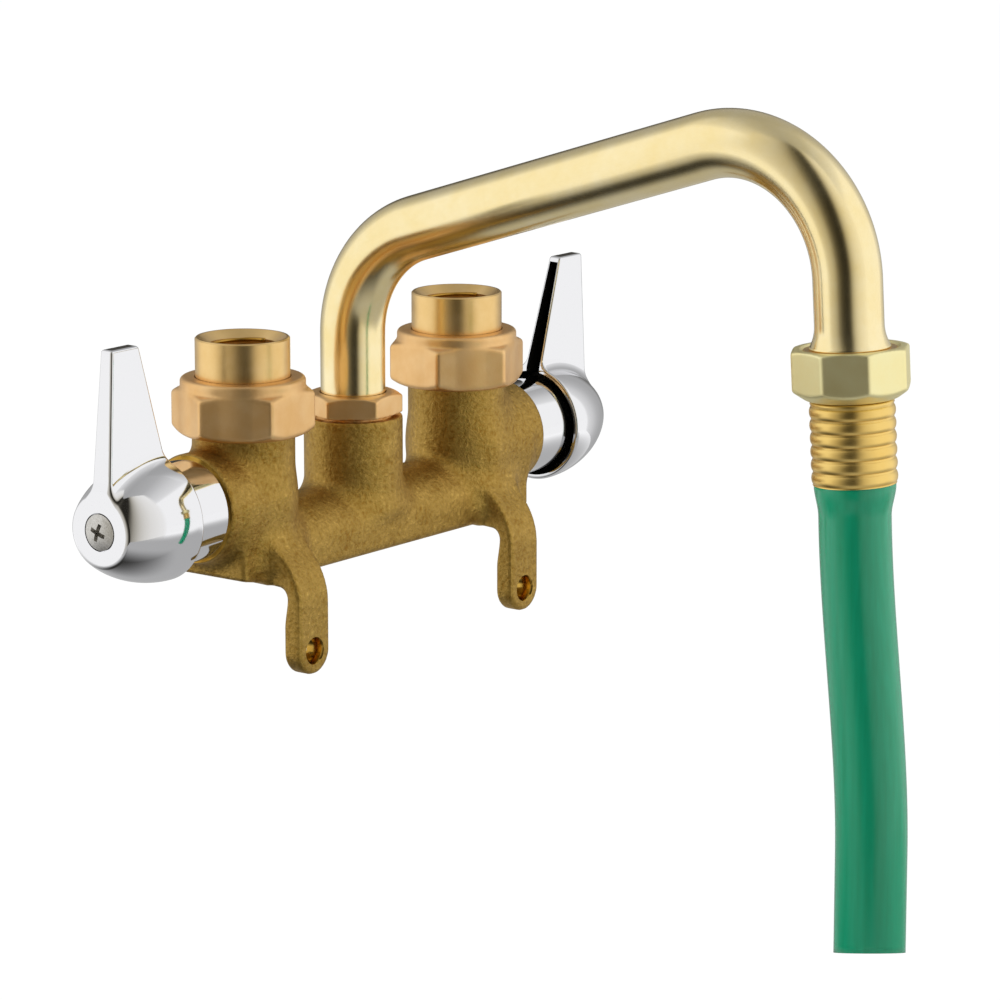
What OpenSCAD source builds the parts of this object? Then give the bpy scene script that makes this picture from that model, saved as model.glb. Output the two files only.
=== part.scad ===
// Two-handle utility sink faucet with a swivel spout and a hose coupled to its tip.
// The origin is midway between the two mounting holes, on the back faces of the legs.
// +X runs along the casting to the cold side, -Y points to the user, +Z is up.
// The two valves are mirror images: every valve piece is drawn once, on the cold side.

/* [Casting] */
// Distance between the centres of the two supply inlets
inlet_spacing = 101.6; // [98:0.2:108]
// Front-to-back depth of the bar that joins the two valve chambers
bar_depth = 29.4; // [27:0.2:30]
// Drop of the crown of the bar below the valve axis
bar_top_drop = 3; // [1:0.5:5]
// Drop of the flat underside of the bar below the valve axis
bar_bottom_drop = 23; // [21:0.5:27]
// Radius of the crown along the top of the bar
bar_crown_r = 15.5; // [15.2:0.1:18]
// Outside diameter of a valve chamber
chamber_d = 32.4; // [31.6:0.2:36]
// Distance from the middle of the casting to the machined end of a chamber
chamber_end = 74.7; // [73:0.1:78]
// Distance from the middle of the casting to the end of the foot below a chamber
foot_end = 68.3; // [66:0.1:71]
// Drop of the underside of the foot below the valve axis
foot_drop = 20.8; // [18:0.2:21.4]
// Diameter of the necks below the union nuts
neck_d = 30.2; // [29.6:0.2:31]
// Rise of the rough neck above the valve axis
neck_top = 18.3; // [16:0.1:20]
// Length of the thread on top of each neck
neck_thread_l = 5.3; // [4:0.1:7]
// Diameter of the boss in the middle that holds the spout
boss_d = 29.8; // [29:0.2:32]
// Rise of the boss above the valve axis
boss_top = 16.4; // [15:0.2:20]

/* [Legs] */
// Width of a mounting leg
leg_w = 13.8; // [12:0.1:18]
// Thickness of the pad at the lower end of a leg
leg_t = 6; // [5:0.1:7]
// Thickness of a leg where it comes out of its bend
leg_waist_t = 5; // [4.4:0.1:6]
// Distance from the valve axis forward to the back faces of the pads
leg_back = 20.4; // [20:0.2:24]
// Inside radius of the bend at the top of a leg
leg_bend_r = 3; // [2:0.5:4]
// Drop of the bend's centre below the valve axis
leg_bend_drop = 26.8; // [26.4:0.1:29]
// Radius of the long curve from the front of a leg up to the casting
leg_sweep_r = 20; // [16:0.5:22]
// Drop of the lower end of that curve below the valve axis
leg_sweep_drop = 29.5; // [29.2:0.1:32]
// Radius that blends the sides of a leg into the casting
leg_root_r = 6; // [3:0.5:8]
// Diameter of the mounting hole in a leg
leg_hole_d = 7.1; // [5:0.1:8]
// Drop of the mounting holes below the valve axis
leg_hole_drop = 42.8; // [40:0.2:50]
// Length of a leg below its mounting hole
leg_tip = 7.1; // [6.6:0.1:12]

/* [Waterways] */
// Bore of the necks
inlet_bore_d = 14; // [12:0.5:15]
// Bore of a valve chamber around the washer
chamber_bore_d = 18.6; // [18.4:0.1:19.5]
// Bore of the passage through the bar
passage_d = 12; // [10:0.5:13]
// Drop of the passage below the valve axis
passage_drop = 13; // [12:0.5:14]

/* [Valves] */
// Distance from the middle of the casting to the face that a seat is screwed into
seat_face = 46.5; // [46:0.1:47.5]
// Diameter of a seat ring
seat_d = 14; // [13:0.2:15]
// Bore of a seat ring
seat_bore_d = 8; // [6:0.5:9]
// Length of a seat ring inside the casting
seat_l = 5; // [4:0.2:6]
// Height of the raised crown that the washer closes on
seat_crown = 0.5; // [0.3:0.1:0.8]
// Diameter of the seat washer
washer_d = 14.4; // [13.6:0.2:15]
// Thickness of the seat washer
washer_t = 4; // [3.5:0.1:4.4]
// Outside diameter of the washer holder
holder_d = 17; // [16.6:0.1:17.6]
// Thickness of the plate of the washer holder
holder_t = 3; // [2.5:0.1:3.4]
// Depth of the rim that holds the washer
holder_rim_l = 2.5; // [1.5:0.1:3]
// Diameter of the pivot on which the holder swivels in the stem
pivot_d = 6; // [5:0.1:7]
// Length of the pivot
pivot_l = 6; // [4:0.2:7]
// Shank diameter of the screw that holds the washer
washer_screw_d = 3.4; // [3:0.1:4]
// Head diameter of the screw that holds the washer
washer_screw_head_d = 7; // [6:0.2:8]
// Diameter of the foot of a stem
stem_foot_d = 13; // [12:0.2:13.6]
// Length of the foot of a stem
stem_foot_l = 8; // [8:0.2:10]
// Diameter of the quick-opening thread of a stem
stem_thread_d = 14; // [13.8:0.1:15]
// Length of that thread
stem_thread_l = 13; // [11:0.2:13.4]
// Diameter of a stem where it turns in its packing
stem_d = 10; // [9:0.2:10.4]
// Diameter of the splined end of a stem
spline_d = 8.4; // [7.6:0.1:9]
// Length of the splined end
spline_l = 8.8; // [7:0.1:9.2]
// Travel of a stem from closed to fully open
valve_lift = 2; // [1:0.1:2.4]
// Diameter of the thread that holds a bonnet in the casting
bonnet_thread_d = 22; // [21:0.2:24]
// Length of that thread
bonnet_thread_l = 16.7; // [15:0.1:16.9]
// Thickness of the bonnet gasket
gasket_t = 1; // [0.5:0.1:1.5]
// Size across the flats of the bonnet
bonnet_af = 23.6; // [23:0.1:24]
// Length of the bonnet's hexagon
bonnet_hex_l = 5.3; // [4:0.1:7]
// Diameter of the outer thread of a bonnet
bonnet_spigot_d = 21; // [20:0.2:21.6]
// Length of the outer thread of a bonnet
bonnet_spigot_l = 15; // [14:0.2:16]
// Diameter of the packing ring
packing_d = 16; // [14.5:0.2:17]
// Length of the packing ring
packing_l = 6; // [4:0.2:7]
// Size across the flats of the packing nut
packing_nut_af = 23.4; // [23:0.1:24]
// Length of the packing nut
packing_nut_l = 8; // [7.6:0.1:8.6]
// Thickness of the end wall of the packing nut
packing_nut_wall = 2.4; // [2:0.1:3]
// Outside diameter of the chromed sleeve over a bonnet
sleeve_d = 30; // [29.4:0.1:30.6]
// Wall of the sleeve
sleeve_wall = 1; // [0.6:0.1:1.2]
// Length of the sleeve
sleeve_l = 16.3; // [15.2:0.1:17]
// Width of the groove for the o-ring on a stem
stem_ring_w = 2.2; // [2:0.1:2.6]
// Depth of that groove
stem_ring_depth = 1.3; // [1:0.1:1.6]

/* [Handles] */
// Length of the sleeve that a handle's hub covers
hub_lap = 4.2; // [3.4:0.1:6]
// Diameter of the flat outer face of the hub
hub_face_d = 20.9; // [18:0.1:24]
// Largest diameter of a handle's hub
hub_rim_d = 36.2; // [35:0.1:40]
// Radius of the rounded back edge of the hub
hub_edge_r = 1; // [0.8:0.1:2.4]
// Length of the hub
hub_l = 27; // [25:0.1:28]
// Distance from the valve axis to the end of the blade
blade_top = 52; // [40:0.5:70]
// Width of the blade at its end
blade_top_w = 11.5; // [8:0.1:14]
// Width of the blade where it leaves the hub
blade_root_w = 26.6; // [22:0.1:26.8]
// Forward tilt of the blade when the valve is closed
blade_tilt = 1.5; // [-10:0.5:20]
// Inward lean of the blade's outer edge at its end
blade_lean = 2.6; // [0:0.1:6]
// Thickness of the blade at its end
blade_top_t = 4.4; // [3:0.1:6]
// Thickness of the blade on the valve axis
blade_root_t = 7.6; // [6:0.1:9]
// Head diameter of a handle screw
handle_screw_head_d = 10.6; // [9:0.1:11]
// Shank diameter of a handle screw
handle_screw_d = 4; // [3:0.1:5]
// Depth of the recess for the head of a handle screw
handle_screw_recess = 2; // [1.5:0.1:2.6]

/* [Inlet unions] */
// Size across the flats of a union nut
union_nut_af = 36.9; // [35.4:0.1:40]
// Length of a union nut
union_nut_l = 16.8; // [16:0.1:20]
// Length of the hexagon of a union nut
union_hex_l = 13.8; // [10:0.1:14.4]
// Diameter of the round collar of a union nut
union_collar_d = 36.8; // [34:0.1:38]
// Turn of the hot union nut about its axis
union_turn_hot = 3.6; // [0:0.1:60]
// Turn of the cold union nut about its axis
union_turn_cold = 21.6; // [0:0.1:60]
// Outside diameter of the tailpieces
tail_d = 27.8; // [27:0.1:28.4]
// Rise of the top of the tailpieces above the valve axis
tail_top = 47.4; // [44:0.1:60]
// Bore of the pipe thread in a tailpiece
tail_bore_d = 20.2; // [18:0.1:21.4]
// Depth of that thread
tail_thread_l = 15; // [12:0.5:16]
// Depth of the countersink at the mouth of a tailpiece
tail_mouth_l = 2.2; // [1:0.1:3]
// Waterway of a tailpiece
tail_waterway_d = 15; // [12:0.5:16]
// Thickness of the flange at the foot of a tailpiece
tail_flange_t = 3.5; // [2.5:0.1:4]
// Thickness of a union washer
union_washer_t = 2; // [1.5:0.1:3]

/* [Spout] */
// Outside diameter of the spout tube
spout_d = 19.6; // [19:0.1:20]
// Wall of the spout tube
spout_wall = 1.05; // [0.8:0.05:1.2]
// Rise of the start of the first bend above the valve axis
spout_rise = 41.2; // [36:0.2:60]
// Centreline radius of the first bend
spout_bend_r = 36; // [30:0.5:45]
// Slope of the run between the two bends
spout_slope = 17.6; // [10:0.2:25]
// Length of the straight run
spout_run = 107.5; // [80:0.5:160]
// Centreline radius of the second bend
spout_drop_r = 37.2; // [30:0.5:45]
// Forward lean of the tip
spout_lean = 3.5; // [0:0.1:6]
// Length of the tip from the second bend to the start of its flare
spout_tip_l = 12.5; // [8:0.5:20]
// Length of the flare
spout_flare_l = 6; // [4:0.2:8]
// Diameter of the flare at its mouth
spout_flare_d = 23; // [22:0.1:24]
// Size across the flats of the spout nut
spout_nut_af = 26; // [25.4:0.1:30]
// Length of the spout nut's hexagon
spout_nut_hex_l = 6.6; // [5:0.1:9]
// Gap between the hexagon and the top of the boss
spout_nut_gap = 0.6; // [0.3:0.1:1.2]
// Turn of the spout nut about its axis
spout_nut_turn = 7.3; // [0:0.1:60]
// Diameter of the spout nut's thread
spout_nut_thread_d = 24; // [23.6:0.1:24.6]
// Thickness of the washer under the spout nut
spout_washer_t = 1.2; // [0.8:0.1:2]
// Diameter of the collar brazed on the foot of the spout
collar_d = 22; // [21.6:0.1:22.2]
// Diameter of the flange of that collar
collar_flange_d = 23.4; // [23.2:0.1:23.5]
// Thickness of that flange
collar_flange_t = 2.6; // [2:0.1:3.4]
// Length of the collar below its flange
collar_l = 8; // [7:0.2:8.6]
// Rise of the ledge that the flange turns on, above the valve axis
collar_ledge = 2.4; // [2:0.1:3]

/* [Hose coupling] */
// Size across the flats of the hose nut
hose_nut_af = 31.9; // [30:0.1:33]
// Number of sides of the hose nut
hose_nut_sides = 8; // [6:1:8]
// Length of the hose nut
hose_nut_l = 14.6; // [14.4:0.1:16]
// Length of the taper at the foot of the hose nut
hose_nut_taper_l = 3.2; // [2:0.1:4]
// Turn of the hose nut about its axis
hose_nut_turn = 39.7; // [0:0.1:45]
// Diameter of the hose thread
hose_thread_d = 26; // [25.6:0.1:26.6]
// Length of the hose thread on the spout
hose_thread_l = 9.2; // [8.4:0.1:9.4]
// Bore of the threaded end
hose_end_bore_d = 14.4; // [12:0.2:15]
// Thickness of the hose washer
hose_washer_t = 2.4; // [1.5:0.1:2.6]
// Thickness of the flange of the hose tail
hose_flange_t = 1.5; // [1:0.1:1.7]
// Diameter of the hose tail inside the hose
hose_tail_d = 16; // [15:0.1:16.2]
// Bore of the hose tail
hose_tail_bore_d = 12.6; // [11:0.1:13]
// Length of the ferrule
ferrule_l = 23.5; // [20:0.1:26]
// Diameter over the ribs of the ferrule
ferrule_d = 24.5; // [24:0.1:26]
// Number of ribs on the ferrule
ferrule_ribs = 6; // [4:1:8]
// Depth of the grooves between the ribs
ferrule_groove = 0.55; // [0.3:0.05:0.6]
// Outside diameter of the hose
hose_d = 20.4; // [20:0.1:21]
// Outside diameter of the hose where it leaves the ferrule
hose_bulge_d = 23; // [21:0.1:23.2]
// Length over which the hose narrows below the ferrule
hose_neck_l = 9; // [6:0.5:15]
// Wall of the hose
hose_wall = 2.3; // [2:0.05:2.4]
// Drop of the free end of the hose below the ferrule
hose_hang_l = 134.5; // [120:0.5:180]
// Forward sway of the hose below the ferrule
hose_sway = 7.4; // [0:0.1:12]
// Drop over which the hose sways forward
hose_sway_l = 105; // [80:1:120]

/* [Hidden] */
$fn = 64;
// Clearance of a threaded or pressed pair, on the radius
fit = 0.05;
// Clearance of a piece that moves past another, on the radius
gap = 0.3;
// Overshoot of a cut beyond the face it leaves
over = 1;
// Step and overlap that keep two flush rounds from touching along a line
hair = 0.05;
lap = 0.5;
// Overshoot that carries a chamfer past a corner
clear = 0.1;
// Depth of a nut's face ring inside its flats
nut_face_cut = 0.4;

inlet_x = inlet_spacing / 2;
axis_y = leg_back;
axis_z = leg_hole_drop;
bar_r = bar_depth / 2;

// Stations of the valve along its axis, from the middle of the casting outward
cavity_wall = 3;
cavity_end = inlet_x - neck_d / 2 + cavity_wall;
seat_in = seat_face - seat_l;
seat_top = seat_face + seat_crown;
washer_back = seat_top + washer_t;
stem_in = washer_back + holder_t;
thread_in = stem_in + stem_foot_l;
thread_out = thread_in + stem_thread_l;
bonnet_in = chamber_end - bonnet_thread_l;
hex_in = chamber_end + gasket_t;
spigot_in = hex_in + bonnet_hex_l;
spigot_out = spigot_in + bonnet_spigot_l;
throat_in = thread_out + valve_lift + over;
throat_l = 6;
packing_in = throat_in + throat_l;
sleeve_out = chamber_end + sleeve_l;
nut_out = sleeve_out + packing_nut_l;
handle_gap = 1.2;
spline_in = nut_out + handle_gap;
spline_out = spline_in + spline_l;
groove_in = throat_in + handle_gap;
sleeve_lip_t = 1.4;
washer_grip = 2;
washer_screw_head_t = 1.2;
spline_end_play = 0.4;

// Stations of the handle
hub_back = sleeve_out - hub_lap;
hub_face = hub_back + hub_l;
hub_rim_x = hub_back + hub_edge_r;
hub_rim_r = hub_rim_d / 2;
hub_drop = hub_rim_r - hub_face_d / 2;
hub_arc_l = hub_face - hub_rim_x;
hub_arc_r = (hub_arc_l * hub_arc_l + hub_drop * hub_drop) / (2 * hub_drop);
hub_bore_r = sleeve_d / 2 + 2 * gap;
hub_cone_r = packing_nut_af / sqrt(3) + 2 * gap;
screw_seat = hub_face - handle_screw_recess;

// Stations of the unions
union_gap = 0.7;
union_z = neck_top + union_gap;
neck_end = neck_top + neck_thread_l;
tail_foot = neck_end + union_washer_t;
union_shoulder = tail_foot + tail_flange_t;
union_top = union_z + union_nut_l;

// Stations of the spout
spout_r = spout_d / 2;
spout_bore_r = spout_r - spout_wall;
collar_foot = collar_ledge - collar_l;
collar_top = collar_ledge + collar_flange_t;
nut_foot = collar_top + spout_washer_t;
nut_seat = boss_top + spout_nut_gap;
turn_up = 90 - spout_slope;
turn_down = 90 + spout_slope - spout_lean;
collar_ring_d = 1;

// End of the second bend, from the crossing of the axes
run_y = spout_bend_r * (1 - cos(turn_up)) + spout_run * cos(spout_slope);
run_z = spout_rise + spout_bend_r * sin(turn_up) + spout_run * sin(spout_slope);
tip_y = run_y + spout_drop_r * (sin(spout_slope) + cos(spout_lean));
tip_z = run_z - spout_drop_r * (cos(spout_slope) - sin(spout_lean));

// Stations along the tip, measured down its axis from the end of the second bend
flare_lip = 0.4;
mouth = spout_tip_l + spout_flare_l + flare_lip;
hose_nut_top = mouth - flare_lip;
thread_foot = mouth + hose_thread_l;
washer_foot = thread_foot + hose_washer_t;
flange_foot = washer_foot + hose_flange_t;
hose_nut_foot = hose_nut_top + hose_nut_l;
ferrule_gap = 0.2;
ferrule_top = hose_nut_foot + ferrule_gap;
ferrule_wall = 0.6;
ferrule_foot = ferrule_top + ferrule_l;
ferrule_cap = 1.2;
tail_neck_wall = 1.4;
tail_neck_r = hose_tail_d / 2 + tail_neck_wall;

// Rings of the hose: inside the ferrule, along the neck below it and down to the free end
hose_sides = 12;
neck_rings = 5;
hang_rings = 12;
hose_last = 2 + neck_rings + hang_rings;
hose_top = ferrule_top + ferrule_cap + over;
hose_crimp = ferrule_foot + lap / 2;
hose_crimp_l = hose_crimp - hose_top;
// Slope of the knife cut across the free end, along X and along Y
hose_cut = [0.25, 0.19];

// Frames

// Moves a piece drawn about the crossing of the valve axis and the spout axis into the part's frame
module at_axis() {
  translate([0, axis_y, axis_z])
    children();
}

// The hot valve mirrors the cold one
module hot_side() {
  mirror([1, 0, 0])
    children();
}

module both_sides() {
  children();
  hot_side()
    children();
}

// Frame at the end of the spout's first bend, with +Z along the straight run
module at_run() {
  translate([0, -spout_bend_r, spout_rise])
    rotate([turn_up, 0, 0])
      translate([0, spout_bend_r, 0])
        children();
}

// Frame of the tip: the origin ends the second bend and -Z runs down the tip
module at_tip() {
  at_run()
    translate([0, -spout_drop_r, spout_run])
      rotate([turn_down, 0, 0])
        translate([0, spout_drop_r, 0])
          rotate([180, 0, 0])
            children();
}

// Solid round bar along X between two stations
module bar_x(from, to, r) {
  translate([from, 0, 0])
    rotate([0, 90, 0])
      cylinder(h = to - from, r = r);
}

// Ring along X between two stations
module ring_x(from, to, r, bore) {
  difference() {
    bar_x(from, to, r);
    bar_x(from - over, to + over, bore);
  }
}

// Hexagonal bar along X
module hex_x(from, to, af) {
  translate([from, 0, 0])
    rotate([0, 90, 0])
      cylinder(h = to - from, r = af / sqrt(3), $fn = 6);
}

// Turns a profile drawn as [station along X, radius] about the X axis
module turned_x() {
  rotate([0, 90, 0])
    rotate([0, 0, 90])
      rotate_extrude()
        rotate([0, 0, 90])
          mirror([0, 1, 0])
            children();
}

// Prism with the corners turned off at both ends, standing on z = 0
module nut_prism(sides, af, l, foot_cut, top_cut) {
  corner_r = af / 2 / cos(180 / sides);
  face_r = af / 2 - nut_face_cut;
  intersection() {
    cylinder(h = l, r = corner_r, $fn = sides);
    rotate_extrude()
      polygon([
        [0, 0],
        [face_r, 0],
        [corner_r + clear, foot_cut],
        [corner_r + clear, l - top_cut],
        [face_r, l],
        [0, l]
      ]);
  }
}

// Casting

// Section of the bar: flat sides and underside below a round crown
module bar_section() {
  crown_z = -bar_top_drop - bar_crown_r;
  shoulder = crown_z + sqrt(bar_crown_r * bar_crown_r - bar_r * bar_r);
  translate([-bar_r, -bar_bottom_drop])
    square([bar_depth, shoulder + bar_bottom_drop]);
  intersection() {
    translate([0, crown_z])
      circle(bar_crown_r);
    translate([-bar_r, shoulder - lap])
      square([bar_depth, bar_bottom_drop]);
  }
}

module bar() {
  translate([-inlet_x, 0, 0])
    rotate([90, 0, 90])
      linear_extrude(inlet_spacing)
        bar_section();
}

// Valve chamber with a domed inner end
module chamber() {
  chamber_r = chamber_d / 2;
  turned_x() {
    intersection() {
      translate([inlet_x, 0])
        circle(chamber_r);
      translate([inlet_x - chamber_r, 0])
        square([chamber_r, chamber_r]);
    }
    translate([inlet_x, 0])
      square([chamber_end - inlet_x, chamber_r]);
  }
}

// Foot below a chamber: level with the bar as far as the leg, then rising to its end
module foot() {
  leg_side_x = inlet_x + leg_w / 2;
  translate([0, bar_r, 0])
    rotate([90, 0, 0])
      linear_extrude(bar_depth)
        polygon([
          [inlet_x - lap, 0],
          [inlet_x - lap, -bar_bottom_drop],
          [leg_side_x, -bar_bottom_drop],
          [foot_end, -foot_drop],
          [foot_end, 0]
        ]);
}

module neck() {
  root_z = -bar_bottom_drop / 2 - bar_top_drop;
  translate([inlet_x, 0, root_z])
    cylinder(h = neck_end - root_z, r = neck_d / 2);
}

// Side view of a leg: a long curve in front, a tight bend behind and a pad at its lower end
module leg_side() {
  front_y = -leg_back - leg_t;
  waist_y = front_y + leg_waist_t;
  bend_y = waist_y + leg_bend_r;
  arm_y = lap - bar_r;
  arm_z = leg_bend_r - leg_bend_drop;
  foot_z = -leg_hole_drop - leg_tip;
  pad_z = leg_w / 2 - leg_hole_drop;
  difference() {
    intersection() {
      translate([front_y + leg_sweep_r, -leg_sweep_drop])
        circle(leg_sweep_r);
      translate([front_y - over, -leg_sweep_drop])
        square([arm_y - front_y + over, leg_sweep_r + over]);
    }
    translate([bend_y, -leg_bend_drop])
      circle(leg_bend_r);
    translate([waist_y, -leg_sweep_drop - over])
      square([bar_r, leg_sweep_drop - leg_bend_drop + over]);
    translate([bend_y, -leg_sweep_drop - over])
      square([bar_r, leg_sweep_drop + arm_z + over]);
  }
  polygon([
    [front_y, -leg_sweep_drop],
    [front_y, foot_z],
    [-leg_back, foot_z],
    [-leg_back, pad_z],
    [waist_y, -leg_bend_drop]
  ]);
  polygon([
    [arm_y - lap, arm_z],
    [-bar_r / 2, -bar_bottom_drop],
    [-bar_r / 2, lap - bar_bottom_drop],
    [arm_y - lap, leg_t + arm_z]
  ]);
}

// Front view of a leg, with a round tip
module leg_front() {
  tip_r = leg_w / 2 + gap;
  tip_centre = leg_hole_drop + leg_tip - tip_r;
  translate([0, -tip_centre])
    circle(tip_r);
  translate([-leg_w, -tip_centre])
    square([2 * leg_w, tip_centre]);
}

// Blend between the sides of a leg and the front of the casting
module leg_root() {
  root_lip = 0.15;
  for (side = [-1, 1])
    translate([inlet_x + side * leg_w / 2, -bar_r, -bar_bottom_drop])
      linear_extrude(leg_waist_t)
        difference() {
          translate([side > 0 ? 0 : -leg_root_r, -leg_root_r])
            square([leg_root_r, leg_root_r + lap]);
          translate([side * leg_root_r, -leg_root_r])
            circle(leg_root_r - root_lip);
        }
}

module leg() {
  intersection() {
    translate([inlet_x - leg_w / 2, 0, 0])
      rotate([90, 0, 90])
        linear_extrude(leg_w)
          leg_side();
    translate([inlet_x, bar_r, 0])
      rotate([90, 0, 0])
        linear_extrude(bar_r + leg_back + 2 * leg_t)
          leg_front();
  }
  leg_root();
}

module boss() {
  translate([0, 0, -bar_bottom_drop / 2])
    cylinder(h = boss_top + bar_bottom_drop / 2, r = boss_d / 2);
}

// Mounting hole, with the edge of the front face broken
module leg_hole() {
  hole_r = leg_hole_d / 2;
  break_edge = 0.7;
  translate([inlet_x, -leg_back + over, -leg_hole_drop])
    rotate([90, 0, 0])
      cylinder(h = leg_t + 2 * over, r = hole_r);
  translate([inlet_x, -leg_back - leg_t + break_edge, -leg_hole_drop])
    rotate([90, 0, 0])
      cylinder(h = break_edge + clear, r1 = hole_r, r2 = hole_r + break_edge + clear);
}

// Waterway of one valve: neck, chamber, seat hole and the drop to the passage
module valve_waterway() {
  translate([inlet_x, 0, 0])
    cylinder(h = neck_end + over, r = inlet_bore_d / 2);
  bar_x(bonnet_in, chamber_end + over, bonnet_thread_d / 2 + fit);
  bar_x(seat_face, bonnet_in + over, chamber_bore_d / 2);
  bar_x(seat_in, seat_face + over, seat_d / 2 + fit);
  bar_x(cavity_end, seat_in + over, seat_bore_d / 2);
  translate([(cavity_end + seat_in) / 2, 0, -passage_drop])
    cylinder(h = passage_drop, r = (seat_in - cavity_end) / 2 + over);
}

module passage() {
  length = cavity_end + seat_in;
  translate([0, 0, -passage_drop])
    bar_x(-length / 2, length / 2, passage_d / 2);
}

// Bores of the boss: the thread of the spout nut, the collar of the spout and the outlet
module boss_bore() {
  translate([0, 0, collar_ledge])
    cylinder(h = boss_top - collar_ledge + over, r = spout_nut_thread_d / 2 + fit);
  translate([0, 0, collar_foot - over])
    cylinder(h = collar_ledge - collar_foot + 2 * over, r = collar_d / 2 + gap);
  translate([0, 0, -passage_drop])
    cylinder(h = passage_drop, r = spout_bore_r - over);
}

module valve_body() {
  color("darkgoldenrod")
    at_axis()
      difference() {
        union() {
          bar();
          boss();
          both_sides() {
            chamber();
            foot();
            neck();
            leg();
          }
        }
        both_sides() {
          valve_waterway();
          leg_hole();
        }
        passage();
        boss_bore();
      }
}

// Valves

module seat_shape() {
  crown_r = (seat_d + seat_bore_d) / 4;
  difference() {
    union() {
      bar_x(seat_in, seat_face, seat_d / 2);
      bar_x(seat_face - over, seat_top, crown_r);
    }
    bar_x(seat_in - over, seat_top + over, seat_bore_d / 2);
  }
}

module washer_shape() {
  head_seat = washer_back - washer_grip;
  difference() {
    bar_x(seat_top, washer_back, washer_d / 2);
    bar_x(seat_top - over, washer_back + over, washer_screw_d / 2 + fit);
    bar_x(seat_top - over, head_seat, washer_screw_head_d / 2 + fit);
  }
}

module holder_shape() {
  difference() {
    union() {
      bar_x(washer_back - holder_rim_l, stem_in, holder_d / 2);
      bar_x(stem_in - over, stem_in + pivot_l, pivot_d / 2);
    }
    bar_x(washer_back - holder_rim_l - over, washer_back, washer_d / 2 + fit);
    bar_x(washer_back - over, stem_in + pivot_l + over, washer_screw_d / 2 + fit);
  }
}

module washer_screw_shape() {
  head_seat = washer_back - washer_grip;
  bar_x(head_seat - washer_screw_head_t, head_seat, washer_screw_head_d / 2);
  bar_x(head_seat - over, stem_in + pivot_l, washer_screw_d / 2);
}

module stem_shape() {
  difference() {
    union() {
      bar_x(stem_in, thread_in, stem_foot_d / 2);
      bar_x(thread_in - over, thread_out, stem_thread_d / 2);
      bar_x(thread_out - over, spline_in, stem_d / 2);
      bar_x(spline_in - over, spline_out, spline_d / 2);
    }
    bar_x(stem_in - over, stem_in + pivot_l + lap, pivot_d / 2 + fit);
    bar_x(spline_in - over, spline_out + over, handle_screw_d / 2 + fit);
    ring_x(groove_in, groove_in + stem_ring_w, stem_d, stem_d / 2 - stem_ring_depth);
  }
}

module stem_ring_shape() {
  ring_r = stem_ring_depth / 2;
  translate([groove_in + stem_ring_w / 2, 0, 0])
    rotate([0, 90, 0])
      rotate_extrude()
        translate([stem_d / 2 - ring_r, 0])
          circle(ring_r);
}

module bonnet_shape() {
  difference() {
    union() {
      bar_x(bonnet_in, hex_in + over, bonnet_thread_d / 2);
      hex_x(hex_in, spigot_in, bonnet_af);
      bar_x(spigot_in - over, spigot_out, bonnet_spigot_d / 2);
    }
    bar_x(bonnet_in - over, throat_in, stem_thread_d / 2 + fit);
    bar_x(throat_in - over, packing_in + over, stem_d / 2 + fit);
    bar_x(packing_in, spigot_out + over, packing_d / 2 + fit);
  }
}

module gasket_shape() {
  ring_x(chamber_end, hex_in, sleeve_d / 2 - sleeve_wall - gap, bonnet_thread_d / 2 + fit);
}

module packing_shape() {
  ring_x(packing_in, packing_in + packing_l, packing_d / 2, stem_d / 2 + fit);
}

// Cap nut whose inner nose presses on the packing
module packing_nut_shape() {
  difference() {
    hex_x(sleeve_out, nut_out, packing_nut_af);
    difference() {
      bar_x(sleeve_out - over, nut_out - packing_nut_wall, bonnet_spigot_d / 2 + fit);
      bar_x(sleeve_out - 2 * over, nut_out, packing_d / 2);
    }
    bar_x(sleeve_out - over, nut_out + over, stem_d / 2 + gap);
  }
  ring_x(packing_in + packing_l, nut_out - packing_nut_wall, packing_d / 2, stem_d / 2 + gap);
}

// Plated cover that the packing nut clamps against the casting
module sleeve_shape() {
  difference() {
    bar_x(chamber_end, sleeve_out, sleeve_d / 2);
    bar_x(chamber_end - over, sleeve_out - sleeve_lip_t, sleeve_d / 2 - sleeve_wall);
    bar_x(sleeve_out - 2 * sleeve_lip_t, sleeve_out + over, bonnet_spigot_d / 2 + fit);
  }
}

// Section of the hub: a rounded back edge, then an arc that falls to the flat face
module hub_section() {
  intersection() {
    translate([hub_rim_x, hub_rim_r - hub_arc_r])
      circle(hub_arc_r, $fn = 180);
    translate([hub_rim_x, 0])
      square([hub_arc_l, hub_rim_r]);
  }
  intersection() {
    translate([hub_rim_x, hub_rim_r - hub_edge_r])
      circle(hub_edge_r);
    translate([hub_back, hub_rim_r - hub_edge_r])
      square([hub_edge_r, hub_edge_r]);
  }
  translate([hub_back, 0])
    square([hub_edge_r, hub_rim_r - hub_edge_r]);
}

// Blade of the lever: tapered in its width and in its thickness
module blade() {
  root_z = hub_face_d / 2;
  intersection() {
    translate([0, blade_root_t, 0])
      rotate([90, 0, 0])
        linear_extrude(2 * blade_root_t)
          polygon([
            [hub_face - blade_root_w, root_z],
            [hub_face, 0],
            [hub_face - blade_lean, blade_top],
            [hub_face - blade_lean - blade_top_w, blade_top]
          ]);
    translate([hub_back, 0, 0])
      rotate([90, 0, 90])
        linear_extrude(hub_l + over)
          polygon([
            [-blade_root_t / 2, 0],
            [blade_root_t / 2, 0],
            [blade_top_t / 2, blade_top],
            [-blade_top_t / 2, blade_top]
          ]);
  }
}

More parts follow.
